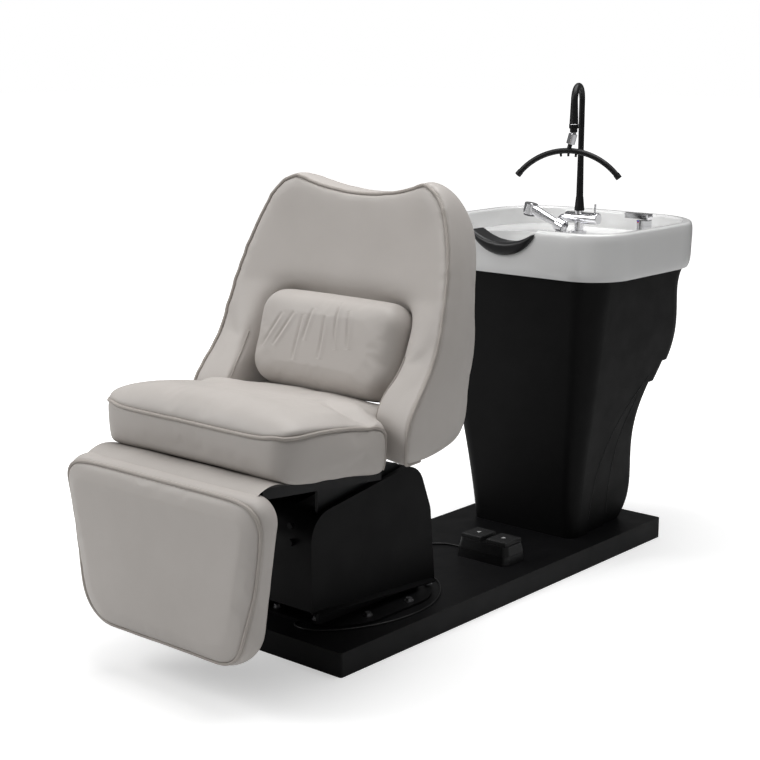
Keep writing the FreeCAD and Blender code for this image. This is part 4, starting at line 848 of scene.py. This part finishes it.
def makeMixerDot(spec):
    low, high = nodeBox("mixer_cap")
    direction = Vector(spec["dotFacing"]).normalized()
    centre = Vector(crownOf("mixer_cap", -spec["dotDrop"])) + direction * (high[0] - low[0]) / 2
    for start, finish in ((0.0, "cold"), (math.pi, "hot")):
        outline = arcOutline(spec["dot"], start, start + math.pi, spec["dotSteps"])
        half = prismPiece(finish + "Dot", outline, spec["dotThick"], facing(direction, centre))
        settle(half, "mixer_turn", "chrome", finish)


def makeTowerNuts(spec):
    front = nodeBox("tower_wrap")[0][1]
    outline = arcOutline(spec["nut"], 0.0, spec["nutTurn"], spec["nutSteps"])
    for x, z in spec["nutPlaces"]:
        for side, label in sides:
            place = facing((0.0, -1.0, 0.0), (side * x, front - spec["nutThick"], z))
            nut = prismPiece("towerNut" + label + str(round(z * perMetre)), outline, spec["nutThick"], place)
            settle(nut, "base", "fastener_steel", "towerPaint")


makeColumnRing(fittings)
makeKeyArrows(fittings)
makeMixerDot(fittings)
makeTowerNuts(fittings)
print("fittings added")

# floor and light
studio = {
    "floor": 60.0, "floorTone": (0.82, 0.82, 0.82, 1.0), "floorRough": 0.9, "white": (1.0, 1.0, 1.0, 1.0),
    "world": 0.16, "nearGlow": 0.42, "farGlow": 1.0, "fadeStart": 1.0, "fadeEnd": 2.2,
}
lamps = {
    "keyPanel": {"place": (-2.6, -3.2, 3.2), "target": (0.0, -0.3, 0.6), "size": 2.4, "power": 96.0},
    "topPanel": {"place": (0.2, 0.3, 4.2), "target": (0.0, 0.0, 0.5), "size": 3.6, "power": 168.0},
    "fillPanel": {"place": (3.6, -1.0, 2.2), "target": (0.0, 0.0, 0.6), "size": 2.6, "power": 1.0},
}


def multiplied(tree, first, second):
    node = tree.nodes.new("ShaderNodeMath")
    node.operation = "MULTIPLY"
    tree.links.new(first, node.inputs[0])
    tree.links.new(second, node.inputs[1])
    return node.outputs[0]


def cameraRay(tree):
    return tree.nodes.new("ShaderNodeLightPath").outputs["Is Camera Ray"]


def makeFloor(spec):
    bm = bmesh.new()
    bmesh.ops.create_grid(bm, x_segments=2, y_segments=2, size=spec["floor"] / 2)
    mesh = bpy.data.meshes.new("studioFloor")
    bm.to_mesh(mesh)
    bm.free()
    floor = newPiece("studioFloor", mesh)
    material, tree, shader, coords = startFinish("paleFloor")
    setInputs(shader, {"Base Color": spec["floorTone"], "Roughness": spec["floorRough"],
                       "Specular IOR Level": 0.0, "Emission Color": spec["white"]})
    away = tree.nodes.new("ShaderNodeVectorMath")
    away.operation = "LENGTH"
    tree.links.new(coords, away.inputs[0])
    glow = spread(tree, away.outputs["Value"], spec["nearGlow"], spec["farGlow"],
                  lowIn=spec["fadeStart"], highIn=spec["fadeEnd"])
    feed(tree, shader, "Emission Strength", multiplied(tree, cameraRay(tree), glow))
    mesh.materials.append(material)


def makeWorld(spec):
    world = bpy.data.worlds.new("studioWorld")
    world.use_nodes = True
    scene.world = world
    tree = world.node_tree
    backdrop = tree.nodes["Background"]
    setInputs(backdrop, {"Color": spec["white"]})
    strength = spread(tree, cameraRay(tree), low=spec["world"], high=1.0, lowIn=0.0, highIn=1.0)
    feed(tree, backdrop, "Strength", strength)


def areaLight(name, spec):
    data = bpy.data.lights.new(name, "AREA")
    data.shape = "RECTANGLE"
    data.size = spec["size"]
    data.size_y = spec["size"]
    data.energy = spec["power"]
    lamp = newPiece(name, data)
    lamp.location = spec["place"]
    lamp.rotation_mode = "QUATERNION"
    lamp.rotation_quaternion = (Vector(spec["target"]) - Vector(spec["place"])).to_track_quat("-Z", "Y")


makeFloor(studio)
makeWorld(studio)
for lampName, lampSpec in lamps.items():
    areaLight(lampName, lampSpec)
scene.view_settings.view_transform = "Standard"
print("stage and lights set")
